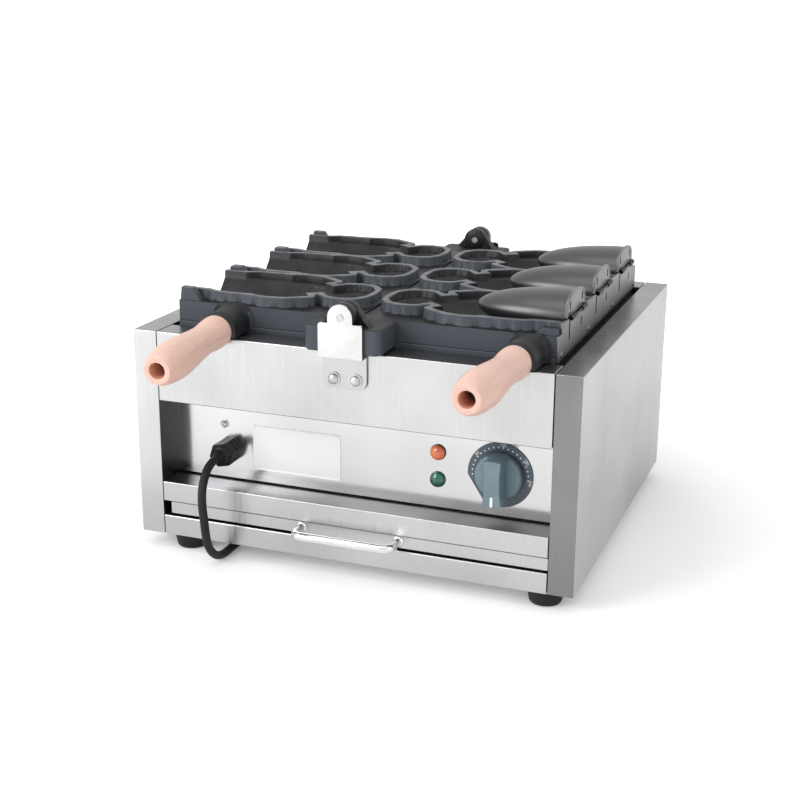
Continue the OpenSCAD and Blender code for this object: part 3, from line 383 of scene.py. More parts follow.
# Dark and light colour, roughness, scale of the pits and of the waves, bump, and values of the shader
skins = {
    "frameSteel": ((0.012, 0.012, 0.013), (0.03, 0.03, 0.031), (0.4, 0.56), 500, 50, (0.16, 0.0003), {"Metallic": 0.5}),
    "zinc": ((0.40, 0.41, 0.42), (0.52, 0.53, 0.53), (0.32, 0.5), 260, 60, (0.1, 0.0003), {"Metallic": 1.0}),
    "polished": ((0.50, 0.50, 0.50), (0.58, 0.58, 0.576), (0.18, 0.28), 420, 40, (0.06, 0.0003), {"Metallic": 1.0}),
    "castingRimHighlight": ((0.048, 0.05, 0.055), (0.115, 0.12, 0.13), (0.36, 0.5), 900, 60, (0.2, 0.0004), {}),
    "castingCavityShade": ((0.0055, 0.006, 0.007), (0.016, 0.0165, 0.019), (0.36, 0.54), 700, 34, (0.3, 0.0005),
                      {"Specular IOR Level": 0.3}),
    "insertCasting": ((0.010, 0.0105, 0.012), (0.020, 0.0205, 0.023), (0.28, 0.38), 800, 22, (0.1, 0.0004),
                      {"Specular IOR Level": 0.95}),
    "woodBore": ((0.62, 0.28, 0.18), (0.74, 0.38, 0.27), (0.5, 0.66), 500, 40, (0.1, 0.0003), {}),
    "marking": ((0.72, 0.74, 0.75), (0.80, 0.81, 0.82), (0.4, 0.55), 900, 60, (0.04, 0.0002), {}),
    "black": ((0.006, 0.006, 0.0065), (0.012, 0.012, 0.013), (0.36, 0.52), 900, 50, (0.12, 0.0003),
              {"Specular IOR Level": 0.25}),
    "rubber": ((0.007, 0.007, 0.0075), (0.014, 0.014, 0.015), (0.46, 0.62), 1300, 60, (0.2, 0.0003),
               {"Specular IOR Level": 0.25}),
    "slate": ((0.13, 0.19, 0.22), (0.165, 0.235, 0.27), (0.36, 0.48), 1200, 40, (0.1, 0.0002), {}),
    "dialPlate": ((0.066, 0.094, 0.112), (0.084, 0.115, 0.134), (0.32, 0.44), 1200, 40, (0.08, 0.0002), {}),
    "orangeLens": ((0.62, 0.12, 0.035), (0.78, 0.20, 0.07), (0.10, 0.2), 300, 90, (0.05, 0.0003), {"Coat Weight": 0.6}),
    "greenLens": ((0.0, 0.075, 0.042), (0.0, 0.14, 0.08), (0.10, 0.2), 300, 90, (0.05, 0.0003), {"Coat Weight": 0.6}),
    "ceramic": ((0.70, 0.66, 0.55), (0.80, 0.76, 0.66), (0.2, 0.34), 400, 50, (0.08, 0.0003), {"Coat Weight": 0.3}),
    "copper": ((0.48, 0.24, 0.14), (0.64, 0.34, 0.21), (0.3, 0.46), 400, 60, (0.1, 0.0003), {"Metallic": 1.0}),
    "sheath": ((0.06, 0.06, 0.062), (0.13, 0.13, 0.135), (0.42, 0.6), 500, 50, (0.16, 0.0003), {"Metallic": 0.6}),
    "chrome": ((0.70, 0.71, 0.72), (0.78, 0.79, 0.80), (0.07, 0.14), 200, 30, (0.03, 0.0003), {"Metallic": 1.0}),
}

finishes = {name: brushedFinish(name, *values) for name, values in brushed.items()}
finishes.update({name: skinFinish(name, *values) for name, values in skins.items()})
finishes["casting"] = castFacingShadeFinish("casting", (0.0065, 0.007, 0.0085), (0.056, 0.064, 0.077), (0.42, 0.6), 0.28)
finishes["wood"] = finish(
    "wood", ((0.68, 0.43, 0.345), (0.78, 0.52, 0.43)), (0.40, 0.56), (0.12, 0.0003), brushing,
    {"Stretch": (520, 16, 520), "Cloud": 26.0}, "Grain", "Grain", {"Coat Weight": 0.15}, (0.30, 0.72))

nodeFinish = {
    "steelFront": ["upper_front_panel", "upper_rear_panel", "control_panel", "ledge_rail", "bottom_rail", "back_cover",
                   "drip_tray"],
    "steelSide": ["left_side_panel", "right_side_panel"],
    "steelLevel": ["base_pan"],
    "polished": ["front_hinge_bracket", "rear_hinge_bracket"],
    "frameSteel": ["support_frame"],
    "zinc": ["back_screws", "heat_shield", "heater_brackets", "bracket_screws", "hinge_pins", "foot_screws",
             "tray_runners", "left_grip_nut", "right_grip_nut", "tray_handle_screws", "thermostat_spindle",
             "earth_screw"],
    "darkStrip": ["strip_screws", "end_strip", "front_insert_leaf", "middle_insert_leaf", "rear_insert_leaf"],
    "casting": ["left_mould", "right_mould"],
    "insertCasting": ["front_insert", "middle_insert", "rear_insert"],
    "wood": ["left_grip", "right_grip"],
    "black": ["insert_hinge_pins", "left_handle_rod", "right_handle_rod", "lamp_holders", "cable_gland",
              "gland_locknut"],
    "rubber": ["feet", "mains_plug"],
    "slate": ["knob"],
    "dialPlate": ["dial_ring"],
    "orangeLens": ["orange_lamp"],
    "greenLens": ["green_lamp"],
    "ceramic": ["thermostat", "terminal_block"],
    "copper": ["thermostat_bulb"],
    "sheath": ["left_heater", "right_heater"],
    "plate": ["rating_plate"],
    "chrome": ["tray_handle"],
}

for finishName, names in nodeFinish.items():
    for n in names:
        data = nodes[n].data
        data.materials.clear()
        data.materials.append(finishes[finishName])
print("finishes set")

leadPiece.data.materials.append(finishes["rubber"])
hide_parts("cord_drop", "cord_run", "cord_coil", "cord_tail")
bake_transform(leadPiece)


# Two cast moulds with three fish each; drawn on the right of the hinge and mirrored for the left
mould = {
    "end": 183.0,
    "side": 160.5,
    "middle": 1.5,
    "bottom": 196.0,
    "top": 226.0,
    "axisZ": 235.6,
    "rim": 235.45,
    "pitch": 102.5,
    "finDepth": 7.0,
    "mouth": 37.5,
    "trough": (91.5, 37.9, 21.5),
    "flute": 0.9,
    "fluteLength": 14.0,
    "scallop": 0.9,
    "scallopLength": 5.4,
    "tailFrom": 138.0,
    "pocketFloor": 212.0,
    "floorTop": 213.4,
    "ledge": 207.0,
    "step": 1.35,
    "rings": 32,
    "blocks": ((-157.5, -148.3), (-57.3, -45.2), (45.2, 57.3), (148.3, 157.5)),
    "blockBase": 224.0,
    "blockDepth": (23.0, 13.5),
    "blockDraft": (1.2, 1.0),
}
rows = (-1, 0, 1)


# Convex outline with rounded corners, as in the part's source
def roundedOutline(points, radii, count=8):
    result = []
    total = len(points)
    for i in range(total):
        a, b, d = (np.array(points[k % total], float) for k in (i - 1, i, i + 1))
        u1, u2 = (b - a) / np.linalg.norm(b - a), (d - b) / np.linalg.norm(d - b)
        n1, n2 = np.array([u1[1], -u1[0]]), np.array([u2[1], -u2[0]])
        m = (n1 + n2) / (1 + n1 @ n2)
        q = b - radii[i] * m
        for j in range(count + 1):
            n = n1 * (count - j) + n2 * j
            result.append(q + radii[i] * n / np.linalg.norm(n))
    return np.array(result)


fishParts = [
    roundedOutline([(16, 33), (16, -33), (34, -43), (70, -44), (100, -34), (134, -9), (134, 9), (100, 34),
                    (70, 44), (34, 43)], [6, 6, 25, 60, 40, 8, 8, 40, 60, 25]),
    roundedOutline([(90, 15), (113, 20), (123, 33), (104, 45), (88, 48), (66, 43.8)], [5, 6, 3, 12, 20, 6]),
    roundedOutline([(128, 12), (128, -12), (140, -26), (152, -28), (164, -24), (171, -12), (171, 12),
                    (164, 24), (152, 28), (140, 26)], [4, 4, 10, 14, 10, 8, 8, 10, 14, 10]),
]


# Which of the points lie inside a closed outline
def insideOutline(points, outline):
    x, y = points[:, :1], points[:, 1:]
    a, b = outline, np.roll(outline, -1, axis=0)
    crosses = (a[:, 1] > y) != (b[:, 1] > y)
    at = a[:, 0] + (y - a[:, 1]) * (b[:, 0] - a[:, 0]) / np.where(b[:, 1] == a[:, 1], 1e-9, b[:, 1] - a[:, 1])
    return (np.sum(crosses & (x < at), axis=1) % 2) == 1


# Signed distance of points to a closed outline, negative inside
def outlineDistance(points, outline):
    a, d = outline, np.roll(outline, -1, axis=0) - outline
    rel = points[:, None, :] - a[None]
    t = np.clip((rel * d[None]).sum(2) / (d * d).sum(1)[None], 0, 1)
    near = np.linalg.norm(rel - t[:, :, None] * d[None], axis=2).min(1)
    return np.where(insideOutline(points, outline), -near, near)


# Half of the fish outline, from the mouth round the back fin to the middle of the tail
def halfFish():
    kept = []
    for i, outline in enumerate(fishParts):
        loop = resample(np.vstack([outline, outline[:1]]), 0.4)
        others = [p for j, p in enumerate(fishParts) if j != i]
        outside = np.min([outlineDistance(loop, p) for p in others], axis=0) > -0.02
        kept += [tuple(p) for p, o in zip(loop, outside) if o and p[1] >= 0 and not (p[1] < 37.5 and p[0] < 30)]
    left = set(range(len(kept)))
    points = np.array(kept)
    at = int(np.argmin(np.linalg.norm(points - np.array([24.5, 37.6]), axis=1)))
    chain = []
    while left:
        left.discard(at)
        chain.append(points[at])
        if not left:
            break
        rest = np.array(sorted(left))
        gap = np.linalg.norm(points[rest] - points[at], axis=1)
        if gap.min() > 4:
            break
        at = int(rest[gap.argmin()])
    line = np.array([(0, mould["mouth"]), (22, mould["mouth"])] + [tuple(p) for p in chain] + [(171, 0)])
    return resample(line, mould["step"])


# How deep the cavity is under the rim at a point of the fish, with its scales, fin rays and tail rays
def fishDepth(u, v):
    a = np.abs(v)
    length, half, deep = mould["trough"]
    trough = deep * np.sqrt(np.clip(1 - (u / length) ** 2 - (a / half) ** np.interp(u, [0, 24, 40], [16, 10, 4]), 0, 1))
    width = np.interp(u, [0, 16, 34, 70, 100, 134, 140], [30, 33, 42, 43, 33, 8, 2])
    crown = np.interp(u, [0, 60, 95, 120, 136, 142], [deep, deep, 19, 14, 9, 0])
    bowl = crown * np.clip(1 - (a / width) ** 2.4, 0, 1) ** 0.5
    tail = 12.5 * np.clip(1 - ((u - 150) / 19) ** 2 - (v / 25) ** 2, 0, 1) ** 0.5
    floor = np.full_like(u, mould["finDepth"])
    deepest = np.maximum.reduce([trough, bowl, tail, floor])
    row = np.floor(u / 7.0)
    across = (v + 4.2 * (row % 2)) / 8.4
    arc = (u / 7.0 - row) - 0.55 * (2 * np.abs(across - np.floor(across) - 0.5)) ** 2
    scales = 0.75 * np.clip(1 - np.abs(arc - 0.2) / 0.16, 0, 1)
    between = lambda value: np.clip(value, 0, 1)
    onBody = between((bowl - 8.5) / 3) * (trough < bowl - 0.2) * between((126 - u) / 6)
    finRays = 0.7 * np.abs(np.sin((u * 0.75 + a * 0.66) * math.pi / 4.6))
    onFin = between((mould["finDepth"] + 0.5 - bowl) / 2) * between((126 - u) / 4) * between((u - 40) / 6)
    tailRays = 0.8 * np.abs(np.sin((v + 0.06 * (u - 134) * v) * math.pi / 5.0 / (1 + 0.02 * np.clip(u - 134, 0, 40))))
    onTail = between((u - 137) / 4)
    return deepest - scales * onBody - finRays * onFin - tailRays * onTail


# Matching spots: on the cavity's outline, on the wall's outer edge, and along the fish's middle line
fishMarks = [
    ((0, 37.5), (0, 44.8), 0), ((22, 37.5), (21, 44.8), 22), ((45, 43.3), (45, 50.6), 45), ((70, 43.2), (69, 51.4), 67),
    ((88, 47.7), (88, 55.0), 78), ((104, 44.5), (107.5, 51.6), 86), ((121.7, 32.5), (129.4, 36.0), 95),
    ((116, 22.5), (127.7, 26.5), 109), ((129, 13.2), (129.0, 24.3), 126), ((140, 25.2), (136.5, 31.6), 138),
    ((152, 27.6), (152, 35.0), 145), ((164, 24.2), (168.5, 30.2), 150), ((170.8, 12), (178.0, 12), 155),
    ((171, 0), (178.3, 0), 158),
]
wallLine = [
    (0, 44.8), (21, 44.8), (28, 47.2), (34, 49.6), (45, 50.6), (58, 51.0), (69, 51.4), (78, 53.8), (88, 55.0),
    (98, 54.4), (107.5, 51.6), (118, 45.4), (126.5, 39.8), (129.4, 36.0), (129.2, 31), (127.7, 26.5), (128, 24.3),
    (129.0, 24.3), (131.5, 27), (136.5, 31.6), (144, 34.4), (152, 35.0), (161, 33.8), (168.5, 30.2), (174.5, 22.5),
    (178.0, 12), (178.3, 5), (178.3, 0),
]


def fishLoops():
    inner = halfFish()
    wall = resample(smoothLine([(x, y, 0) for x, y in wallLine], 0.6)[0][:, :2], 0.6)
    at, far = lengthAlong(inner), lengthAlong(wall)
    known = [at[np.linalg.norm(inner - np.array(a), axis=1).argmin()] for a, _, _ in fishMarks]
    other = [far[np.linalg.norm(wall - np.array(b), axis=1).argmin()] for _, b, _ in fishMarks]
    matched = np.interp(at, known, other)
    edge = np.stack([np.interp(matched, far, wall[:, k]) for k in range(2)], 1)
    target = np.interp(at, known, [t for _, _, t in fishMarks])
    both = lambda half: np.vstack([half, half[-2::-1] * (1, -1)])
    return both(inner), both(edge), np.concatenate([target, target[-2::-1]])


loop, outer, spine = fishLoops()
outer[:, 1] = np.clip(outer[:, 1], -54.4, 54.4)
print(f"fish outline of {len(loop)} points")


# Walls, rim and cavity floor of one fish as one open strip from the mouth round the tail
def fishMesh(row):
    direction = outer - loop
    direction = direction / np.linalg.norm(direction, axis=1)[:, None]
    along = lengthAlong(outer)
    wave = np.sin(math.pi * along / mould["fluteLength"] + 1.9 * np.sin(along / 23.0))
    flute = mould["flute"] * np.abs(wave)[:, None]
    bite = np.abs(np.sin(math.pi * lengthAlong(loop)[:, None] / mould["scallopLength"]))
    scallop = np.where(loop[:, :1] > mould["tailFrom"], bite, 0)
    top, base = mould["rim"] - (0.03 if row == 0 else 0), mould["top"]
    edge = outer - direction * flute
    inner = loop + direction * scallop * mould["scallop"]
    rings = [(outer + direction * 1.4, base - 1.5), (outer + direction * 1.4, base - 0.05),
             (outer + direction * 0.4, base + 0.35), (edge, base + 1.4), (edge - direction * 0.25, top - 0.9),
             (edge - direction * 0.5, top - 0.25), (edge - direction * 1.1, top), (inner + direction * 0.95, top),
             (inner + direction * 0.35, top - 0.25), (inner + direction * 0.05, top - 0.9),
             (loop - direction * 0.35, top - mould["finDepth"] + 0.9)]
    points, count = [], len(loop)
    middleY = row * mould["pitch"]
    for ring, z in rings:
        points += [(mould["end"] - p[0], middleY + p[1], z) for p in ring]
    centre = np.stack([spine, np.zeros(count)], 1)
    for k in range(1, mould["rings"] + 1):
        s = (k / mould["rings"]) ** 0.9
        p = loop * (1 - s) + centre * s
        depth = np.minimum(fishDepth(p[:, 0], p[:, 1]), mould["finDepth"] - 0.7 + 40 * s)
        points += [(mould["end"] - a[0], middleY + a[1], top - d) for a, d in zip(p, depth)]
    total = len(rings) + mould["rings"]
    faces = [(i * count + j, i * count + j + 1, (i + 1) * count + j + 1, (i + 1) * count + j)
             for i in range(total - 1) for j in range(count - 1)]
    for i in range(len(rings) - 2, total - 1):
        for j in (0, count - 1):
            a, b = i * count + j, (i + 1) * count + j
            points += [(*points[a][:2], mould["pocketFloor"]), (*points[b][:2], mould["pocketFloor"])]
            face = (a, b, len(points) - 1, len(points) - 2)
            faces.append(face if j else tuple(reversed(face)))
    return points, faces


# Plates of one outline: between two heights, between two places along X, and from y over a depth
def prismZ(outline, low, high):
    return stackRings([[(x, y, z) for x, y in outline] for z in (low, high)])


def prismX(outline, x0, x1):
    return stackRings([[(x, y, z) for y, z in outline] for x in (x0, x1)])


def prismY(outline, y, depth):
    return stackRings([[(x, y + d, z) for x, z in outline] for d in (0, depth)])


# A profile of (distance, radius) turned about an axis through a point
def turned(profile, centre, axis, sides=48, start=(0, 0, 1)):
    axis = Vector(axis).normalized()
    side = Vector(start).cross(axis).normalized()
    other = axis.cross(side)
    points, faces, rings = [], [], []
    for d, r in profile:
        middle = Vector(centre) + axis * float(d)
        turns = circle(sides) if r >= 1e-6 else [0]
        rings.append([len(points) + j for j in range(len(turns))])
        points += [tuple(middle + float(r) * (math.cos(a) * side + math.sin(a) * other)) for a in turns]
    for a, b in zip(rings, rings[1:]):
        for j in range(sides):
            k = (j + 1) % sides
            if len(a) > 1 and len(b) > 1:
                faces.append((a[j], a[k], b[k], b[j]))
            elif len(b) > 1:
                faces.append((a[0], b[k], b[j]))
            elif len(a) > 1:
                faces.append((a[j], a[k], b[0]))
    return points, faces


# Joins meshes given as (points, faces) into one
def gather(parts):
    points, faces = [], []
    for p, f in parts:
        base = len(points)
        points += list(p)
        faces += [tuple(base + i for i in face) for face in f]
    return points, faces


def mirror(part, axis):
    points, faces = part
    return [tuple(-v if k == axis else v for k, v in enumerate(p)) for p in points], [tuple(reversed(f)) for f in faces]


# A mesh object from parts in mm, with outward faces, rounded edges and one finish of those it will be joined to
def solidPiece(name, parts, material, bevel=0.0, segments=2, recalc=True, sharp=38, index=0):
    piece = addPiece(name, *gather(parts), material)
    if recalc:
        bm = bmesh.new()
        bm.from_mesh(piece.data)
        bmesh.ops.recalc_face_normals(bm, faces=bm.faces)
        bm.to_mesh(piece.data)
        bm.free()
    if bevel:
        modifier = piece.modifiers.new("edges", "BEVEL")
        modifier.width = bevel / 1000
        modifier.segments = segments
        modifier.limit_method = "ANGLE"
        modifier.angle_limit = math.radians(30)
        modifier.harden_normals = False
        applyModifiers(piece)
    smoothFaces(piece, sharp)
    for f in piece.data.polygons:
        f.material_index = index
    return piece


def applyModifiers(piece):
    graph = bpy.context.evaluated_depsgraph_get()
    made = bpy.data.meshes.new_from_object(piece.evaluated_get(graph))
    old = piece.data
    piece.modifiers.clear()
    piece.data = made
    bpy.data.meshes.remove(old)


def dropPiece(piece):
    old = piece.data
    bpy.data.objects.remove(piece)
    bpy.data.meshes.remove(old)


# Joins finished objects into one with the finishes of the first
def joinPieces(name, pieces):
    bm = bmesh.new()
    for p in pieces:
        bm.from_mesh(p.data)
    mesh = bpy.data.meshes.new(name)
    bm.to_mesh(mesh)
    bm.free()
    for m in pieces[0].data.materials:
        mesh.materials.append(m)
    for p in pieces:
        dropPiece(p)
    return addObject(name, mesh)


# The slab under the fish: a solid plate, a comb-shaped plate round the cavities, and the floor between them
def slabParts():
    end, side, middle, ledge = (mould[k] for k in ("end", "side", "middle", "ledge"))
    inset = 1.6
    pocket = (loop + (outer - loop) * 0.5)[::4]
    pocket[:, 1] = np.clip(pocket[:, 1], -49.4, 49.4)
    comb = [(middle, -side + inset), (end, -side + inset)]
    for row in rows:
        comb += [(end - p[0], row * mould["pitch"] + p[1]) for p in pocket[::-1]]
    comb += [(end, side - inset), (middle, side - inset)]
    solid = prismZ(rectangle(middle, -side, end, side), mould["bottom"], ledge)
    floor = prismZ(rectangle(middle + 1, -side + 3, end - 1, side - 3), ledge - 0.5, mould["floorTop"])
    return solid, prismZ(comb, ledge - 0.5, mould["top"]), floor


# Hinge block, arm and ring at the front; the rear ones are its mirror image
hinge = {
    "block": [(12.6, -201.2), (32, -201.2), (36, -197.2), (36, -158), (12.6, -158)],
    "bossZ": 203.0,
    "bossSide": (1.5, 13.0),
    "bossY": (-201.2, -158.0),
    "gap": (-10.2, 0.2),
    "arm": [(2.5, 11.3), (6, 9.8), (12, 4.6), (17, -2.5), (23, -9.0), (27, -10.5), (27, -20), (1.5, -20), (1.5, -11),
            (0, -8)],
    "armThick": 9.8,
    "ring": [(0, 3.4), (0, 4.6), (-0.35, 5.0), (-0.35, 6.4), (0.5, 6.7), (0.5, 7.4), (-0.35, 7.7), (-0.35, 9.8),
             (0.5, 10.1), (0.5, 10.6), (0.0, 10.9), (0.0, 11.4), (0.6, 12), (9.4, 12), (10, 11.4), (10, 3.4), (0, 3.4)],
}


def hingeParts(ownY, otherY):
    z, bossZ, top = mould["axisZ"], hinge["bossZ"], mould["top"]
    (inner, far), (front, back) = hinge["bossSide"], hinge["bossY"]
    gapFrom, gapTo = (gap - otherY for gap in hinge["gap"])
    parts = [prismZ(hinge["block"], bossZ, top), prismZ(rectangle(inner, gapTo, far, back), bossZ, top)]
    if gapFrom > -200:
        parts.append(prismZ(rectangle(inner, front, far, gapFrom), bossZ, top))
    parts.append(prismY([(x, z + h) for x, h in hinge["arm"]], -ownY - 9.9, hinge["armThick"]))
    return parts


def ringPart(ownY):
    return turned(hinge["ring"], (0, -ownY - 10, mould["axisZ"]), (0, 1, 0), 56)


def tiltTurn(tilt, droop):
    return Matrix.Rotation(math.radians(tilt), 3, "Z") @ Matrix.Rotation(math.radians(droop), 3, "X")


# Handle lug: an arch section swept out of the slab's face, widening where it meets the slab
lug = {
    "root": 191.8,
    "z": 210.5,
    "tilt": -2.4,
    "radius": 16.0,
    "low": -7.4,
    "straight": -2.0,
    "overTop": 1.2,
    # Distance from the handle's end, and how wide the lug is there
    "sections": [(0, 0.90), (0.5, 0.97), (1.6, 1.0), (16, 1.0), (22, 1.02), (26, 1.06), (29, 1.14), (31.3, 1.28),
                 (33.6, 1.28)],
}


def lugPart(x, droop):
    r, low, straight = lug["radius"], lug["low"], lug["straight"]
    arch = [(-r * math.cos(a), r * math.sin(a)) for a in np.linspace(0, math.pi, 25)]
    outline = [(-r, low), (-r, straight)] + arch + [(r, straight), (r, low)]
    turn, highest = tiltTurn(lug["tilt"], droop), mould["top"] - lug["z"] + lug["overTop"]
    rings = []
    for d, k in lug["sections"]:
        spots = [turn @ Vector((a * k, d, min(b * k if b > -7 else b, highest))) for a, b in outline]
        rings.append([(x + p.x, p.y - lug["root"], lug["z"] + p.z) for p in spots])
    return stackRings(rings)


# End blocks between the mouths, with drafted sides
def blockParts(top):
    end, parts = mould["end"], []
    (deepBase, deepTop), (easeX, easeY) = mould["blockDepth"], mould["blockDraft"]
    for low, high in mould["blocks"]:
        base = [(x, y, mould["blockBase"]) for x, y in rectangle(end - deepBase, low, end, high)]
        rise = [(x, y, top) for x, y in rectangle(end - deepTop, low + easeY, end - easeX, high - easeY)]
        parts.append(stackRings([base, rise]))
    return parts


# Rim tops take a lighter finish as a painted highlight; cavities and the lug take a blacker finish as painted shade,
# and the turned rings the same blacker finish
def paintCastingHighlightAndShade(piece, handleX):
    mesh = piece.data
    for finishName in ("castingRimHighlight", "castingCavityShade"):
        mesh.materials.append(finishes[finishName])
    count = len(mesh.polygons)
    centres, normals = np.empty(count * 3), np.empty(count * 3)
    mesh.polygons.foreach_get("center", centres)
    mesh.polygons.foreach_get("normal", normals)
    c = centres.reshape(-1, 3) * 1000 - np.array(shift)
    n = normals.reshape(-1, 3)
    across = np.abs(c[:, 0])
    row = np.clip(np.round(c[:, 1] / mould["pitch"]), -1, 1)
    flat = np.stack([mould["end"] - across, c[:, 1] - row * mould["pitch"]], 1)
    away = outer - loop
    edge = loop + away / np.linalg.norm(away, axis=1)[:, None] * 0.7
    cavity = insideOutline(flat, edge) & (c[:, 2] < mould["rim"] + 0.1)
    turnedPart = (across < 15) & (np.abs(c[:, 1]) > 178) & (c[:, 2] > 222)
    lugShade = (np.abs(across - handleX) < 24) & (c[:, 1] < -161.5) & (c[:, 2] < 227.5) & (n[:, 1] > -0.98)
    # Painted highlight on the rim tops; painted shade in the cavities and on the lug
    rim = (n[:, 2] > 0.6) & (c[:, 2] > mould["rim"] - 0.6) & (np.abs(c[:, 1]) < 170)
    index = np.where(rim, 1, np.where(cavity | turnedPart | lugShade, 2, 0)).astype(np.int32)
    mesh.polygons.foreach_set("material_index", index)
    mesh.update()


def makeMould(name, node, left, blockTop, ownY, otherY, handleX, droop, body):
    flip = (lambda part: mirror(part, 0)) if left else (lambda part: part)
    slabLow, slabComb, slabFloor = slabParts()
    front = hingeParts(ownY, otherY)
    base = [slabLow] + blockParts(blockTop) + front + [mirror(p, 1) for p in front]
    rings = [ringPart(ownY), mirror(ringPart(ownY), 1), lugPart(handleX, droop)]
    fish = [fishMesh(row) for row in rows]
    joined = joinPieces(name, [
        solidPiece(name, [flip(p) for p in base], finishes["casting"], 1.3, 3),
        solidPiece(name + "Comb", [flip(slabComb)], None),
        solidPiece(name + "Floor", [flip(slabFloor)], None),
        solidPiece(name + "Rings", [flip(p) for p in rings], None, sharp=50),
        solidPiece(name + "Fish", [flip(p) for p in fish], None, recalc=False, sharp=44),
    ])
    paintCastingHighlightAndShade(joined, handleX)
    finishPiece(joined, "iron", body, node)
    return joined


def finishPiece(piece, slot, body, *replaced):
    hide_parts(*replaced)
    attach(piece, body)


leftMould = makeMould("leftMould", "left_mould", True, 238.45, 191.2, 180.8, 124.5, 3.0, "left_mould_body")
makeMould("rightMould", "right_mould", False, 232.45, 180.8, 191.2, 157.0, 0.0, "right_mould_body")
print(f"moulds cast, {len(leftMould.data.polygons)} faces each")


# Makes a group's instances real, in the material it was given
def paintInstances(tree, instances, start, end):
    real = addNode(tree, "GeometryNodeRealizeInstances", {0: instances})
    paint = addNode(tree, "GeometryNodeSetMaterial", {"Geometry": real.outputs[0], "Material": start["Material"]})
    feed(tree, end, {"Geometry": paint.outputs[0]})
    return tree


def runTree(piece, tree, values):
    modifier = piece.modifiers.new("build", "NODES")
    modifier.node_group = tree
    for item in tree.interface.items_tree:
        if item.item_type == "SOCKET" and item.in_out == "INPUT" and item.name in values:
            modifier[item.identifier] = values[item.name]
    applyModifiers(piece)
    smoothFaces(piece, 38)


# Domed cross-head screws with washers, one on each point of the mesh, facing its "facing" vector
def screwTree():
    tree, start, end = nodeGroup("screws", "Geometry", [
        ("Geometry", "Geometry", None),
        ("Head radius", "Float", 0.005),
        ("Head height", "Float", 0.003),
        ("Washer radius", "Float", 0.0065),
        ("Washer height", "Float", 0.001),
        ("Turn", "Float", 0.7),
        ("Material", "Material", None),
    ], ["Geometry"], "Geometry")
    radius, height, thick = start["Head radius"], start["Head height"], start["Washer height"]
    vector = lambda x=0.0, y=0.0, z=0.0: addNode(tree, "ShaderNodeCombineXYZ", {0: x, 1: y, 2: z}).outputs[0]
    times = lambda a, b: addNode(tree, "ShaderNodeMath", {0: a, 1: b}, operation="MULTIPLY").outputs[0]
    move = lambda mesh, **inputs: addNode(tree, "GeometryNodeTransform", {"Geometry": mesh, **inputs}).outputs[0]
    size = vector(radius, radius, height)
    ball = addNode(tree, "GeometryNodeMeshUVSphere", {"Segments": 32, "Rings": 18, "Radius": 1.0})
    wide, thin = times(radius, 1.15), times(radius, 0.24)
    cuts = []
    for bar in (vector(wide, thin, height), vector(thin, wide, height)):
        box = addNode(tree, "GeometryNodeMeshCube", {"Size": bar})
        cuts.append(move(box.outputs["Mesh"], Translation=vector(z=height)))
    whole = addNode(tree, "ShaderNodeVectorMath", {0: size, "Scale": 4.0}, operation="SCALE")
    down = addNode(tree, "ShaderNodeVectorMath", {0: size, 1: (0, 0, -2.0)}, operation="MULTIPLY")
    under = addNode(tree, "GeometryNodeMeshCube", {"Size": whole.outputs[0]})
    cuts.append(move(under.outputs["Mesh"], Translation=down.outputs[0]))
    cutter = addNode(tree, "GeometryNodeJoinGeometry", {0: cuts})
    head = addNode(tree, "GeometryNodeMeshBoolean", {
        "Mesh 1": move(ball.outputs["Mesh"], Scale=size), "Mesh 2": cutter.outputs[0]}, operation="DIFFERENCE")
    washer = addNode(tree, "GeometryNodeMeshCylinder", {
        "Vertices": 40, "Radius": start["Washer radius"], "Depth": thick})
    seat = move(washer.outputs["Mesh"], Translation=vector(z=times(thick, -0.5)))
    screw = addNode(tree, "GeometryNodeJoinGeometry", {0: [head.outputs["Mesh"], seat]})
    facing = addNode(tree, "GeometryNodeInputNamedAttribute", {"Name": "facing"}, data_type="FLOAT_VECTOR")
    align = addNode(tree, "FunctionNodeAlignRotationToVector", {"Vector": facing.outputs["Attribute"]}, axis="Z")
    put = addNode(tree, "GeometryNodeInstanceOnPoints", {
        "Points": start["Geometry"], "Instance": screw.outputs[0], "Rotation": align.outputs[0]})
    spin = times(addNode(tree, "GeometryNodeInputIndex").outputs[0], start["Turn"])
    turn = addNode(tree, "GeometryNodeRotateInstances", {"Instances": put.outputs[0], "Rotation": vector(z=spin)})
    return paintInstances(tree, turn.outputs[0], start, end)


screws = screwTree()


def addScrews(name, node, spots, sizes):
    mesh = bpy.data.meshes.new(name)
    mesh.from_pydata(place([s for s, _ in spots]), [], [])
    data = mesh.attributes.new("facing", "FLOAT_VECTOR", "POINT")
    for i, (_, way) in enumerate(spots):
        data.data[i].vector = way
    piece = addObject(name, mesh)
    head, height, washer, thick = (v / 1000 for v in sizes)
    runTree(piece, screws, {"Head radius": head, "Head height": height, "Washer radius": washer,
                            "Washer height": thick, "Turn": 0.83, "Material": finishes["zinc"]})
    finishPiece(piece, "zinc", "housing", node)


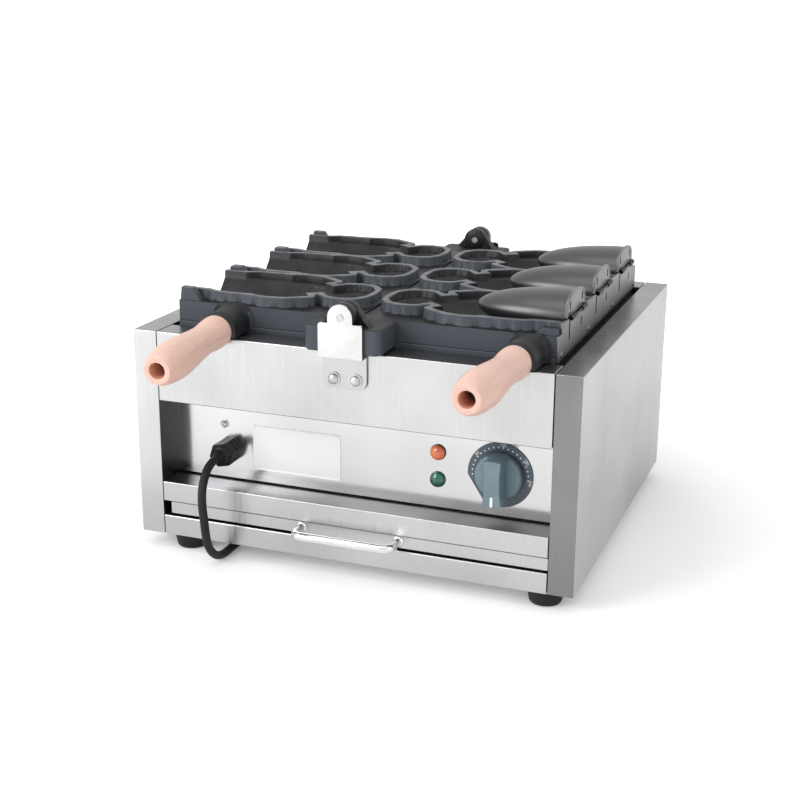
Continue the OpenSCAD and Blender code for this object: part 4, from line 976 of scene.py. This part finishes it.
# Small dots along an arc on the dial
def dotTree():
    tree, start, end = nodeGroup("dots", "Geometry", [
        ("Geometry", "Geometry", None),
        ("Count", "Int", 20),
        ("Radius", "Float", 0.0262),
        ("First angle", "Float", 3.2),
        ("Sweep", "Float", -3.3),
        ("Dot radius", "Float", 0.0007),
        ("Dot height", "Float", 0.0001),
        ("Place", "Vector", None),
        ("Material", "Material", None),
    ], ["Geometry"], "Geometry")
    arc = addNode(tree, "GeometryNodeCurveArc", {
        "Resolution": start["Count"], "Radius": start["Radius"], "Start Angle": start["First angle"],
        "Sweep Angle": start["Sweep"], "Connect Center": False})
    spots = addNode(tree, "GeometryNodeCurveToPoints", {"Curve": arc.outputs["Curve"]}, mode="EVALUATED")
    dot = addNode(tree, "GeometryNodeMeshCylinder", {
        "Vertices": 12, "Radius": start["Dot radius"], "Depth": start["Dot height"]})
    put = addNode(tree, "GeometryNodeInstanceOnPoints", {
        "Points": spots.outputs["Points"], "Instance": dot.outputs["Mesh"]})
    stand = addNode(tree, "GeometryNodeTransform", {
        "Geometry": put.outputs[0], "Translation": start["Place"], "Rotation": (math.pi / 2, 0, 0)})
    return paintInstances(tree, stand.outputs[0], start, end)


# Folded sheet and flat pieces keep the CAD solid, with rounded folds and eased edges
def softCopy(node, material, fold, ease, others, body):
    mesh = nodes[node].data.copy()
    bm = bmesh.new()
    bm.from_mesh(mesh)
    bmesh.ops.remove_doubles(bm, verts=bm.verts, dist=1e-6)
    bmesh.ops.dissolve_limit(bm, angle_limit=math.radians(0.5), verts=bm.verts, edges=bm.edges)
    wide, thin = [], []
    for e in bm.edges:
        if len(e.link_faces) != 2 or not e.is_convex or e.calc_face_angle(0) < math.radians(50):
            continue
        span = min(f.calc_area() / max(e.calc_length(), 1e-6) for f in e.link_faces)
        (wide if span > 0.004 and e.calc_length() > 0.012 else thin).append(e)
    roundEdges = lambda edges, offset, segments: bmesh.ops.bevel(
        bm, geom=edges, offset=offset / 1000, offset_type="OFFSET", segments=segments, profile=0.5,
        affect="EDGES", clamp_overlap=True)
    if fold and wide:
        roundEdges(wide, fold, 3)
    if ease:
        roundEdges([e for e in thin if e.is_valid], ease, 1)
    bm.normal_update()
    for f in bm.faces:
        c = f.calc_center_median() * 1000 - Vector(shift)
        for i, (_, chosen) in enumerate(others):
            if chosen(c, f.normal):
                f.material_index = i + 1
    mesh.materials.clear()
    for finishName in (material, *(o[0] for o in others)):
        mesh.materials.append(finishes[finishName])
    bm.to_mesh(mesh)
    bm.free()
    first, *rest = node.split("_")
    piece = addObject(first + "".join(word.title() for word in rest), mesh)
    smoothFaces(piece, 38)
    finishPiece(piece, "steel", body, node)


# An upright slot's cutter, along X
def ovalPrism(y, low, high, width, x0, x1):
    r = width / 2
    outline = [(y + r * math.cos(a), high - r + r * math.sin(a)) for a in np.linspace(0, math.pi, 9)]
    outline += [(y + r * math.cos(a), low + r + r * math.sin(a)) for a in np.linspace(math.pi, 2 * math.pi, 9)]
    return prismX(outline, x0, x1)


def cutAway(piece, parts):
    cutter = solidPiece("cutter", parts, None)
    modifier = piece.modifiers.new("cut", "BOOLEAN")
    modifier.operation = "DIFFERENCE"
    modifier.solver = "EXACT"
    modifier.object = cutter
    applyModifiers(piece)
    dropPiece(cutter)


# Walls and floors of the slots in an upright plate that faces +X take its second, black finish, a painted shade inside
# the slots
def shadeCutsBlack(piece, windows):
    piece.data.materials.append(finishes["black"])
    for f in piece.data.polygons:
        c = f.center * 1000 - Vector(shift)
        if c.x < 184.9 and abs(f.normal.x) < 0.9 or 183.1 < c.x < 184.9:
            if any(a < c.y < b and low < c.z < high for a, b, low, high in windows):
                f.material_index = 1


# Hinge knuckles with the webs that hold them on the plate
knuckle = {
    "barrel": [(0, 0), (0, 1.9), (0.3, 2.2), (7.7, 2.2), (8, 1.9), (8, 0)],
    "x": 187.5,
    "z": 236.0,
    "webX": (185.0, 187.6, 187.4),
    "webInset": 0.3,
    "webWidth": 7.4,
}


def knuckleParts(spots, low, high):
    x, lowX, highX = knuckle["webX"]
    web, parts = [(x, low), (lowX, low), (highX, high), (x, high)], []
    for y in spots:
        parts.append(turned(knuckle["barrel"], (knuckle["x"], y, knuckle["z"]), (0, 1, 0), 20))
        parts.append(prismY(web, y + knuckle["webInset"], knuckle["webWidth"]))
    return parts


# A plate facing +X with slots (middle, width, low and high end) painted black inside as shade, and hinge knuckles
def slottedPlate(name, part, bevel, slots, reach, knuckles, body, node):
    plate = solidPiece(name, [part], finishes["darkStrip"], bevel)
    cutAway(plate, [ovalPrism(y, low, high, width, *reach) for y, width, low, high in slots])
    shadeCutsBlack(plate, [(y - width, y + width, low - 0.5, high) for y, width, low, high in slots])
    barrels = solidPiece(name + "Barrels", knuckles, None, sharp=40, index=1)
    smoothFaces(plate, 38)
    finishPiece(joinPieces(name, [plate, barrels]), "dark_strip", body, node)


# Sheet steel body; a panel's faces that lie inside, on top or in front, the rail tops, and the bracket's lower plate
# and edges take darker finishes of their own, painted shade and painted reflection
def makeBody():
    shadedTop = ("steelTop", lambda c, n: n.z > 0.9)
    shade = ("steelShade", lambda c, n: n.z > 0.9)
    front = ("steelPost", lambda c, n: n.y < -0.9)
    shadedInsideLeft = ("steelRecessShade", lambda c, n: c.x > -191.6 and n.x > 0.9)
    shadedInsideRight = ("steelRecessShade", lambda c, n: c.x < 191.6 and n.x < -0.9)
    underside = ("steelRecessShade", lambda c, n: c.z < 136.3 and n.y > -0.95)
    shadedFoot = ("bracketFoot", lambda c, n: abs(n.y) > 0.9 and c.z < 199.2)
    shadedBrim = ("steelRecessShade", lambda c, n: abs(n.y) < 0.3 and (n.x > 0.6 or n.z < -0.6))
    # Node, finish, radius of the folds, easing of thin edges, and faces with a painted-shade finish
    panels = [
        ("left_side_panel", "steelFront", 1.0, 0.25, [shadedInsideLeft, shadedTop]),
        ("right_side_panel", "steelSide", 1.0, 0.25, [shadedInsideRight, front, shadedTop]),
        ("upper_front_panel", "steelFront", 1.0, 0.25, [underside, shadedTop]),
        ("upper_rear_panel", "steelFront", 1.0, 0.25, [shadedTop]),
        ("control_panel", "steelPanel", 0, 0.2, []),
        ("ledge_rail", "steelFront", 1.1, 0.2, [shade]),
        ("bottom_rail", "steelFront", 1.1, 0.2, [shade]),
        ("back_cover", "steelFront", 0, 0.2, []),
        ("drip_tray", "steelFront", 0.8, 0.15, []),
        ("front_hinge_bracket", "polished", 0.6, 0.3, [shadedFoot, shadedBrim]),
        ("rear_hinge_bracket", "polished", 0.6, 0.3, [shadedFoot, shadedBrim]),
    ]
    for node, *values in panels:
        softCopy(node, *values, "tray_body" if node == "drip_tray" else "housing")


# Steel strip on the right mould's end, with a slit, a slot and two hinge knuckles for each insert
strip = {
    "low": 203.0,
    "top": 235.4,
    "back": 183.0,
    "front": 185.0,
    "endStep": 12.0,
    "cuts": ((-21.5, 3.6, 214.5, 240.0), (22.0, 3.2, 218.0, 226.5)),
    "knuckles": (-19.6, 11.6),
    "web": (233.6, 235.2),
}


def makeStrip():
    side, shoulder, top, inner = mould["side"], mould["top"], strip["top"], mould["side"] - strip["endStep"]
    outline = [(-side, strip["low"]), (side, strip["low"]), (side, shoulder), (inner, shoulder), (inner, top),
               (-inner, top), (-inner, shoulder), (-side, shoulder)]
    middles = [row * mould["pitch"] for row in rows]
    slots = [(y + at, *size) for y in middles for at, *size in strip["cuts"]]
    knuckles = knuckleParts([y + k for y in middles for k in strip["knuckles"]], *strip["web"])
    slottedPlate("endStrip", prismX(outline, strip["back"], strip["front"]), 0.35, slots,
                 (strip["back"] - 1, strip["front"] + 2), knuckles, "right_mould_body", "end_strip")


makeBody()
makeStrip()
print("body panels folded")

# Screws on the hinge brackets and on the back cover
bracketScrews = [((x, y * 194.5, 177), (0, y, 0)) for y in (-1, 1) for x in (-10.5, 10.5)]
addScrews("bracketScrews", "bracket_screws", bracketScrews, (5.0, 3.0, 6.5, 1.0))
backScrews = [((x, 192.2, z), (0, 1, 0)) for x in (-201, 201) for z in (22, 66, 110)]
addScrews("backScrews", "back_screws", backScrews, (3.6, 2.1, 3.7, 0.1))


# Mouth inserts: a smooth bullet-shaped casting and a steel leaf with a proud rim
insert = {
    "base": 183.3,
    "length": 89.0,
    "halfWidth": 32.5,
    "halfHeight": 20.0,
    "rings": 22,
    "sides": 64,
    "leafFront": 185.0,
    "leafBack": 182.8,
    "leafBottom": 236.6,
    "rimWidth": 1.3,
    "rimHeight": 0.5,
    "slotY": 22.0,
    "slotZ": (242.0, 250.0),
    "slotWidth": 3.4,
    "slotReach": (183.9, 187.0),
    "knuckles": (-28.0, 20.0),
    "web": (236.6, 238.2),
}


def insertBody(row):
    y0, z0, base, length = row * mould["pitch"], mould["axisZ"], insert["base"], insert["length"]
    rings = []
    for i in range(1, insert["rings"] + 1):
        a = math.pi / 2 * (i / insert["rings"]) ** 1.05
        x = min(base - length * math.cos(a), insert["leafBack"] - 0.05)
        w, h = insert["halfWidth"] * math.sin(a), insert["halfHeight"] * math.sin(a)
        rings.append([(x, y0 + w * math.cos(b), z0 + h * math.sin(b)) for b in circle(insert["sides"])])
    points, faces = stackRings(rings, caps=False)
    n, tip = insert["sides"], len(points)
    points.append((base - length, y0, z0))
    faces += [(tip, (j + 1) % n, j) for j in range(n)]
    faces.append(tuple(range(tip - n, tip)))
    return points, faces


# Outline of a leaf: a rounded top over straight lower sides, drawn in by the given amount
def leafOutline(inward=0.0, count=40):
    w, h = insert["halfWidth"] - inward, insert["halfHeight"] - inward
    line = []
    for i in range(count + 1):
        a = math.pi * i / count
        c, s = math.cos(a), math.sin(a)
        line.append((math.copysign(abs(c) ** 0.62, c) * w, mould["axisZ"] + abs(s) ** 0.62 * h))
    low = insert["leafBottom"] + inward
    return [(w, low)] + [p for p in line if p[1] > low + 0.2] + [(-w, low)]


# A flat plate facing +X, with a proud rim round its face
def leafParts(row):
    y0 = row * mould["pitch"]
    outside, inside = leafOutline(), leafOutline(insert["rimWidth"])
    step = leafOutline(insert["rimWidth"] + 0.35)
    rimX, faceX, backX = insert["leafFront"] + insert["rimHeight"], insert["leafFront"], insert["leafBack"]
    eased = [(a * 0.995, b - 0.15) for a, b in outside]
    rings = [(outside, backX), (outside, rimX - 0.3), (eased, rimX), (inside, rimX), (step, faceX)]
    return stackRings([[(x, y0 + a, b) for a, b in ring] for ring, x in rings])


def makeInsert(row, label):
    body = f"{label}_insert_body"
    dome = solidPiece(f"{label}Insert", [insertBody(row)], finishes["insertCasting"], sharp=50)
    finishPiece(dome, "insert_metal", body, f"{label}_insert")
    y0 = row * mould["pitch"]
    slots = [(y0 + s * insert["slotY"], insert["slotWidth"], *insert["slotZ"]) for s in (-1, 1)]
    knuckles = knuckleParts([y0 + k for k in insert["knuckles"]], *insert["web"])
    slottedPlate(f"{label}InsertLeaf", leafParts(row), 0, slots, insert["slotReach"], knuckles, body,
                 f"{label}_insert_leaf")


for row, label in zip(rows, ("front", "middle", "rear")):
    makeInsert(row, label)
print("mouth inserts ready")


# Turned wooden grips with a hole in the end
grip = {
    "length": 119.0,
    "collar": 2.0,
    "hole": 7.2,
    "holeDepth": 25.0,
    "rodRadius": 4.3,
    "profile": [(0, 12), (1.2, 13.4), (4, 15), (14, 15), (23, 14.2), (32, 13.6), (40, 13.9), (50, 14.6), (60, 15.5),
                (72, 16.6), (85, 17.5), (97, 17.1), (105, 16.3), (112, 15.1), (116, 14.0), (119, 12.4)],
}


def makeGrip(side, x, tilt, droop):
    axis = tiltTurn(tilt, droop) @ Vector((0, -1, 0))
    start = Vector((x, -lug["root"], lug["z"])) + axis * grip["collar"]
    curve = smoothLine([(d, r, 0) for d, r in grip["profile"]], 1.6)[0]
    end, hole, rod = grip["length"], grip["hole"], grip["rodRadius"]
    lip = (end + 0.2, hole + 0.2)
    body = [(0, rod)] + [(d, r) for d, r, _ in curve]
    body += [(end + 0.35, 12.2), (end + 0.5, 11.4), (end + 0.5, hole + 0.9), lip]
    bore = [lip, (end - 0.6, hole), (end - grip["holeDepth"], hole), (end - grip["holeDepth"], rod)]
    wood = solidPiece(f"{side}Grip", [turned(body, start, axis, 64)], finishes["wood"], recalc=False, sharp=50)
    wood.data.materials.append(finishes["woodBore"])
    inside = solidPiece(f"{side}Bore", [turned(bore, start, axis, 64)], None, recalc=False, sharp=50, index=1)
    finishPiece(joinPieces(f"{side}Grip", [wood, inside]), "wood", f"{side}_mould_body", f"{side}_grip")


makeGrip("left", -124.5, 2.4, 3.0)
makeGrip("right", 157.0, -2.4, 0.0)
print("grips turned")


# Dial, knob and pilot lamps on the control panel
controls = {
    "panelY": -161.0,
    "knobX": 136.7,
    "knobZ": 94.6,
    "knobRadius": 22.5,
    "dialRadius": 30.5,
    "dialThick": 1.0,
    "dialHole": 9.4,
    "flatAngle": 213.0,
    "flatDistance": 27.0,
    "gripHalfWidth": 7.15,
    "gripHalfLength": 21.4,
    "gripFront": -188.5,
    "dots": 20,
    "dotRadius": 26.0,
    "firstDot": 185.0,
    "sweep": -190.0,
    "numbers": (("60", 141.0), ("120", 86.0), ("180", 33.0), ("240", -9.0)),
    "numberSize": 4.2,
    "numberRadius": 28.2,
    "lampX": 77.7,
    "lampRadius": 7.0,
    "lamps": (("orange", 108.4), ("green", 82.3)),
}


def makeDial():
    c = controls
    flat = math.radians(c["flatAngle"])
    half = math.acos(c["flatDistance"] / c["dialRadius"])
    rim = [(math.cos(a), math.sin(a)) for a in np.linspace(flat + half, flat - half + 2 * math.pi, 90)]
    back, front = c["panelY"], c["panelY"] - c["dialThick"]
    rings = [(c["dialHole"], back), (c["dialRadius"], back), (c["dialRadius"], front + 0.25),
             (c["dialRadius"] - 0.25, front), (c["dialHole"], front)]
    part = stackRings([[(c["knobX"] + a * r, y, c["knobZ"] + b * r) for a, b in rim] for r, y in rings], False, True)
    finishPiece(solidPiece("dialRing", [part], finishes["dialPlate"], sharp=30), "dial", "housing", "dial_ring")

    spots = addObject("dialDots", bpy.data.meshes.new("dialDots"))
    runTree(spots, dotTree(), {
        "Count": c["dots"], "Radius": c["dotRadius"] / 1000, "First angle": math.radians(c["firstDot"]),
        "Sweep": math.radians(c["sweep"]), "Dot radius": 0.00075, "Dot height": 0.00016,
        "Place": place([(c["knobX"], front, c["knobZ"])])[0], "Material": finishes["marking"]})
    numbers = joinPieces("dialNumbers", [makeNumber(text, math.radians(angle), front) for text, angle in c["numbers"]])
    for piece in (spots, numbers):
        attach(piece, "housing")


# One raised number of the dial, upright towards the dial's edge
def makeNumber(text, angle, front):
    curve = bpy.data.curves.new(f"number{text}", "FONT")
    curve.body = text
    curve.size = controls["numberSize"]
    curve.align_x = "CENTER"
    curve.align_y = "CENTER"
    curve.extrude = 0.06
    curve.resolution_u = 3
    letters = addObject(f"number{text}", curve)
    mesh = bpy.data.meshes.new_from_object(letters.evaluated_get(bpy.context.evaluated_depsgraph_get()))
    bpy.data.objects.remove(letters)
    turn = Matrix.Rotation(math.pi / 2, 4, "X") @ Matrix.Rotation(angle - math.pi / 2, 4, "Z")
    x, z, r = controls["knobX"], controls["knobZ"], controls["numberRadius"]
    spot = place([(x + r * math.cos(angle), front - 0.02, z + r * math.sin(angle))])[0]
    mesh.transform(Matrix.Translation(spot) @ Matrix.Scale(0.001, 4) @ turn)
    mesh.materials.clear()
    mesh.materials.append(finishes["marking"])
    return addObject("number", mesh)


# Round knob with a waisted grip and a white pointer line
def makeKnob():
    c = controls
    x, z, r, front, low = c["knobX"], c["knobZ"], c["knobRadius"], c["gripFront"], -c["gripHalfLength"]
    back = c["panelY"] - c["dialThick"] - 1.5
    skirt = [(0, 0), (0, r - 1.0), (0.6, r - 0.2), (1.6, r), (4.6, r - 0.5), (5.8, r - 1.1), (6.5, r - 2.2),
             (6.9, r - 4), (7.1, 9), (7.1, 0)]
    disc = solidPiece("knobDisc", [turned(skirt, (x, back, z), (0, -1, 0), 72)], finishes["slate"], sharp=40)
    right = []
    for t in np.linspace(-1, 1, 13):
        v = t * (c["gripHalfLength"] - 1.2)
        right.append((c["gripHalfWidth"] + 0.0036 * (v - 2) ** 2 * (1 if v < 0 else 0.9), v))
    left = [(-a, b) for a, b in reversed(right)]
    topArc = [(a * right[-1][0], right[-1][1] + 1.4 * (1 - a * a)) for a in (0.6, 0.2, -0.2, -0.6)]
    lowArc = [(a * right[0][0], right[0][1] - 1.4 * (1 - a * a)) for a in (-0.6, -0.2, 0.2, 0.6)]
    shape = right + topArc + left + lowArc
    sections = [(back - 3, 1.14), (back - 7, 1.12), (back - 9, 1.05), (back - 13, 1.0), (front + 1.0, 0.975),
                (front + 0.25, 0.95), (front, 0.91)]
    rings = [[(x + a * k, y, z + b * (1 - (1 - k) * 0.34)) for a, b in shape] for y, k in sections]
    bar = solidPiece("knobGrip", [stackRings(rings)], None, sharp=32)
    disc.data.materials.append(finishes["marking"])
    line = [prismY(rectangle(x - 1.25, z + low + 0.6, x + 1.25, z + low + 9.4), front - 0.12, 0.5),
            prismY(rectangle(x - 1.25, z + low - 0.28, x + 1.25, z + low + 1.2), front + 0.5, 5.0)]
    pointer = solidPiece("knobPointer", line, None, 0.1, 1, index=1)
    finishPiece(joinPieces("knobPiece", [disc, bar, pointer]), "slate", "knob_body", "knob")


def makeLamps():
    c, r = controls, controls["lampRadius"]
    lens = [(0, 0), (0, r), (2.2, r), (2.8, r - 0.25), (3.4, r - 0.9), (3.8, r - 1.7), (4.6, r * 0.62),
            (5.2, r * 0.36), (5.5, r * 0.14), (5.55, 0)]
    # Black ring round the foot of each lens, a painted shade standing for the dark edge round the lens
    rim = [(0, r), (0, r + 0.55), (0.9, r + 0.5), (1.1, r + 0.1), (1.1, r - 0.1)]
    for label, z in c["lamps"]:
        centre = (c["lampX"], c["panelY"], z)
        piece = solidPiece(f"{label}Lamp", [turned(lens, centre, (0, -1, 0))], finishes[f"{label}Lens"], sharp=50)
        piece.data.materials.append(finishes["black"])
        ring = solidPiece(f"{label}Rim", [turned(rim, centre, (0, -1, 0))], None, recalc=False, sharp=50, index=1)
        finishPiece(joinPieces(f"{label}Lamp", [piece, ring]), f"{label}_lens", "housing", f"{label}_lamp")


makeDial()
makeKnob()
makeLamps()
print("controls ready")


# Cable gland with a cap nut and a tapered strain relief
gland = {
    "hexes": ((12.4, -6.0, 6.0), (12.6, -17.6, 10.4)),
    "sleeve": [(5, 10), (8, 10.8), (16, 10.8), (18, 10.2), (19.6, 8.8), (20.4, 7.4), (20.8, 6.9), (21.2, 6.7),
               (26.5, 5.6), (27.6, 5.2), (27.8, 4.7), (27.6, 4.05), (22, 4.02), (0, 4.02), (0, 10), (5, 10)],
    "ribs": (21.6, 23.2, 24.8),
}


# A fine raised ring on a turned piece
def ribRing(at, width, low, high, centre, axis):
    return turned([(at, low[0]), (at + width, high), (at + 2 * width, low[1])], centre, axis, 40)


def makeGland():
    x, y, z = lead["side"], controls["panelY"], lead["exitZ"]
    hexes = []
    for r, start, depth in gland["hexes"]:
        corners = [math.radians(a) for a in range(12, 372, 60)]
        hexes.append(prismY([(x + r * math.cos(a), z + r * math.sin(a)) for a in corners], y + start, depth))
    grooves = [ribRing(d, 0.35, (6.75 - 0.2 * i, 6.7 - 0.2 * i), 6.95 - 0.2 * i, (x, y, z), (0, -1, 0))
               for i, d in enumerate(gland["ribs"])]
    whole = joinPieces("cableGland", [
        solidPiece("glandNuts", hexes, finishes["black"], 0.9, 3),
        solidPiece("glandSleeve", [turned(gland["sleeve"], (x, y, z), (0, -1, 0))], None, sharp=50),
        solidPiece("glandRibs", grooves, None, recalc=False, sharp=60),
    ])
    finishPiece(whole, "black", "housing", "cable_gland")


# Chrome bar handle of the drip tray
bow = {
    "front": -189.5,
    "out": -210.5,
    "x": 2.0,
    "z": 27.65,
    "half": 48.0,
    "bend": 9.0,
    "radius": 4.0,
    "collar": [(0, 0), (0, 5.4), (0.9, 5.2), (1.5, 4.2), (1.6, 3.2)],
}


def makeTrayHandle():
    front, out, x, z, half, bend = (bow[k] for k in ("front", "out", "x", "z", "half", "bend"))
    quarter = np.linspace(0, math.pi / 2, 9)
    line = [(x - half, front + 0.2, z), (x - half, out + bend, z)]
    line += [(x - half + bend - bend * math.cos(a), out + bend - bend * math.sin(a), z) for a in quarter[1:]]
    line += [(x + half - bend + bend * math.sin(a), out + bend - bend * math.cos(a), z) for a in quarter]
    line.append((x + half, front + 0.2, z))
    bar = solidPiece("trayBar", [tubeMesh(line, bow["radius"], 24)], finishes["chrome"], sharp=50)
    collars = [turned(bow["collar"], (x + s * half, front, z), (0, -1, 0), 32) for s in (-1, 1)]
    rings = solidPiece("trayCollars", collars, None, recalc=False, sharp=50)
    finishPiece(joinPieces("trayHandle", [bar, rings]), "chrome", "tray_body", "tray_handle")


# Rubber feet, turned down from the body's underside
feet = {
    "x": (-171, 185),
    "y": (-172, 172),
    "profile": [(0, 0), (0, 17), (2.2, 16.8), (4, 16.6), (10.5, 15.5), (13.0, 14.9), (14.3, 14.0), (14.8, 12.8),
                (15, 11.6), (15, 6.2), (14.6, 5.6), (13, 5.5), (13, 0)],
}


def makeFeet():
    parts = [turned(feet["profile"], (x, y, 0), (0, 0, -1), 48, (1, 0, 0)) for x in feet["x"] for y in feet["y"]]
    finishPiece(solidPiece("rubberFeet", parts, finishes["rubber"], sharp=45), "rubber", "housing", "feet")


# Blank plate with rounded corners and a fine raised border
plate = {
    "left": -108.0,
    "low": 67.0,
    "width": 90.0,
    "height": 45.0,
    "thick": 0.5,
    "border": 0.12,
}


def makePlate():
    back, front, proud = controls["panelY"], controls["panelY"] - plate["thick"], plate["border"]
    # Inset from the plate's edge, corner radius and place along Y of each ring
    steps = [(0, 2.0, back), (0, 2.0, front + 0.1), (0.1, 1.9, front), (1.6, 1.2, front), (1.75, 1.1, front + proud),
             (2.1, 1.0, front + proud), (2.25, 0.9, front)]
    rings = []
    for inset, r, y in steps:
        corners = rectangle(inset, inset, plate["width"] - inset, plate["height"] - inset)
        outline = roundedOutline(corners, [r] * 4, 6)
        rings.append([(plate["left"] + a, y, plate["low"] + b) for a, b in outline])
    piece = solidPiece("ratingPlate", [stackRings(rings)], finishes["plate"])
    finishPiece(piece, "plate", "housing", "rating_plate")


# Two-pin plug with a ribbed grip
plugShape = {
    "body": [(0, 0), (0, 5.6), (1, 6.2), (6, 6.6), (13, 7.8), (16, 9.6), (19, 12.6), (22, 14.8), (24, 16.6),
             (25.5, 17.6), (26.5, 17.9), (28, 17.9), (28.6, 17.4), (29.4, 17.4), (30, 17.9), (31.6, 17.9), (32.2, 17.4),
             (33, 17.4), (33.6, 17.9), (37.6, 17.9), (39, 17.5), (39.8, 16.6), (40, 15.6), (40, 0)],
    "ribs": (2, 4.6, 7.2, 9.8),
    "pin": [(0, 0), (0, 2.35), (17, 2.35), (18.6, 2.1), (19.8, 1.3), (20.3, 0)],
    "pinSide": 9.5,
    "length": 40.0,
}


def makePlug():
    x = lead["side"] + lead["coilRadius"] + 2 * lead["diameter"] + lead["tail"]
    y, z = lead["coilY"] + lead["coilRadius"], -shift[2] + lead["plugRadius"]
    body = solidPiece("plugBody", [turned(plugShape["body"], (x, y, z), (1, 0, 0), 56)], finishes["rubber"], sharp=36)
    body.data.materials.append(finishes["zinc"])
    relief = [ribRing(d, 0.7, [5.8 + 0.06 * d] * 2, 6.9 + 0.06 * d, (x, y, z), (1, 0, 0)) for d in plugShape["ribs"]]
    ribs = solidPiece("plugRibs", relief, None, recalc=False, sharp=60)
    pins = [turned(plugShape["pin"], (x + plugShape["length"], y + s * plugShape["pinSide"], z), (1, 0, 0), 28)
            for s in (-1, 1)]
    metal = solidPiece("plugPins", pins, None, sharp=40, index=1)
    whole = joinPieces("mainsPlug", [body, ribs, metal])
    finishPiece(whole, "rubber", "housing", "mains_plug")
    return whole


# Flat tie round the turns of the coil
tie = {
    "outside": ((35.4, -14.95, 54.0, 2.9), 3.4),
    "inside": ((36.4, -13.9, 53.0, 1.9), 2.6),
    "halfWidth": 4.0,
    "head": (41.0, -4.6, 48.0, 4.6),
    "headZ": (1.8, 5.2),
}


def makeTie():
    cx, cy, half = lead["side"] + lead["coilRadius"], lead["coilY"], tie["halfWidth"]
    section, inside = (roundedOutline(rectangle(*corners), [r] * 4, 6)
                       for corners, r in (tie["outside"], tie["inside"]))
    rings = [[(cx + a, cy + y, b) for a, b in ring]
             for ring, y in ((section, -half), (section, half), (inside, half), (inside, -half))]
    x0, y0, x1, y1 = tie["head"]
    head = prismZ(rectangle(cx + x0, cy + y0, cx + x1, cy + y1), *tie["headZ"])
    piece = solidPiece("coilTie", [stackRings(rings, False, True), head], finishes["black"], 0.3, 1)
    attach(piece, "housing")


makeGland()
makeTrayHandle()
makeFeet()
makePlate()
plug = makePlug()
makeTie()
print("gland, tray handle, feet, plate and plug ready")

# Floor, lamps and the white surroundings
stage = {
    "floorSize": 40.0,
    "floorColour": 0.86,
    "nearLift": (0.30, 0.17),
    "farLift": (0.75, 0.62),
    "aim": (0, 0, 0.1),
    "lamps": [
        ("keyLamp", (-1.5, -1.9, 1.3), 1.5, 38),
        ("fillLamp", (2.0, -0.9, 1.5), 1.8, 7),
        ("topLamp", (-0.2, -0.5, 2.4), 1.8, 10),
    ],
}


# What the camera and mirror images see, apart from what lights the object
def seenRays(tree):
    rays = addNode(tree, "ShaderNodeLightPath").outputs
    seen = addNode(tree, "ShaderNodeMath", {0: rays["Is Camera Ray"], 1: rays["Is Glossy Ray"]}, operation="MAXIMUM")
    return rays, seen.outputs[0]


def makeFloor():
    size, grey = stage["floorSize"], stage["floorColour"]
    mesh = bpy.data.meshes.new("floor")
    mesh.from_pydata([(x, y, 0) for x, y in rectangle(-size, -size, size, size)], [], [(0, 1, 2, 3)])
    floor = addObject("floor", mesh)
    material = bpy.data.materials.new("floorPaper")
    material.use_nodes = True
    tree = material.node_tree
    (near, least), (far, most) = stage["nearLift"], stage["farLift"]
    where = addNode(tree, "ShaderNodeTexCoord").outputs["Object"]
    reach = addNode(tree, "ShaderNodeVectorMath", {0: where}, operation="LENGTH").outputs["Value"]
    fade = addNode(tree, "ShaderNodeMapRange", {
        "Value": reach, "From Min": near, "From Max": far, "To Min": least, "To Max": most})
    lift = addNode(tree, "ShaderNodeMath", {0: seenRays(tree)[1], 1: fade.outputs["Result"]}, operation="MULTIPLY")
    feed(tree, tree.nodes["Principled BSDF"], {
        "Base Color": (grey, grey, grey, 1),
        "Roughness": 0.9,
        "Specular IOR Level": 0.0,
        "Emission Color": (1, 1, 1, 1),
        "Emission Strength": lift.outputs[0],
    })
    mesh.materials.append(material)


def makeSurroundings():
    world = bpy.data.worlds.new("surroundings")
    bpy.context.scene.world = world
    world.use_nodes = True
    tree = world.node_tree
    rays, seen = seenRays(tree)
    through = addNode(tree, "ShaderNodeMath", {0: seen, 1: rays["Is Transmission Ray"]}, operation="MAXIMUM")
    level = addNode(tree, "ShaderNodeMapRange", {"Value": through.outputs[0], "To Min": 0.74, "To Max": 1.0})
    feed(tree, tree.nodes["Background"], {"Color": (1, 1, 1, 1), "Strength": level.outputs["Result"]})
    for name, spot, size, power in stage["lamps"]:
        data = bpy.data.lights.new(name, "AREA")
        data.shape = "DISK"
        data.size = size
        data.energy = power
        lamp = addObject(name, data)
        lamp.location = spot
        lamp.rotation_euler = (Vector(stage["aim"]) - Vector(spot)).to_track_quat("-Z", "Y").to_euler()


makeFloor()
makeSurroundings()
bpy.context.scene.view_settings.view_transform = "Standard"
print("stage ready")
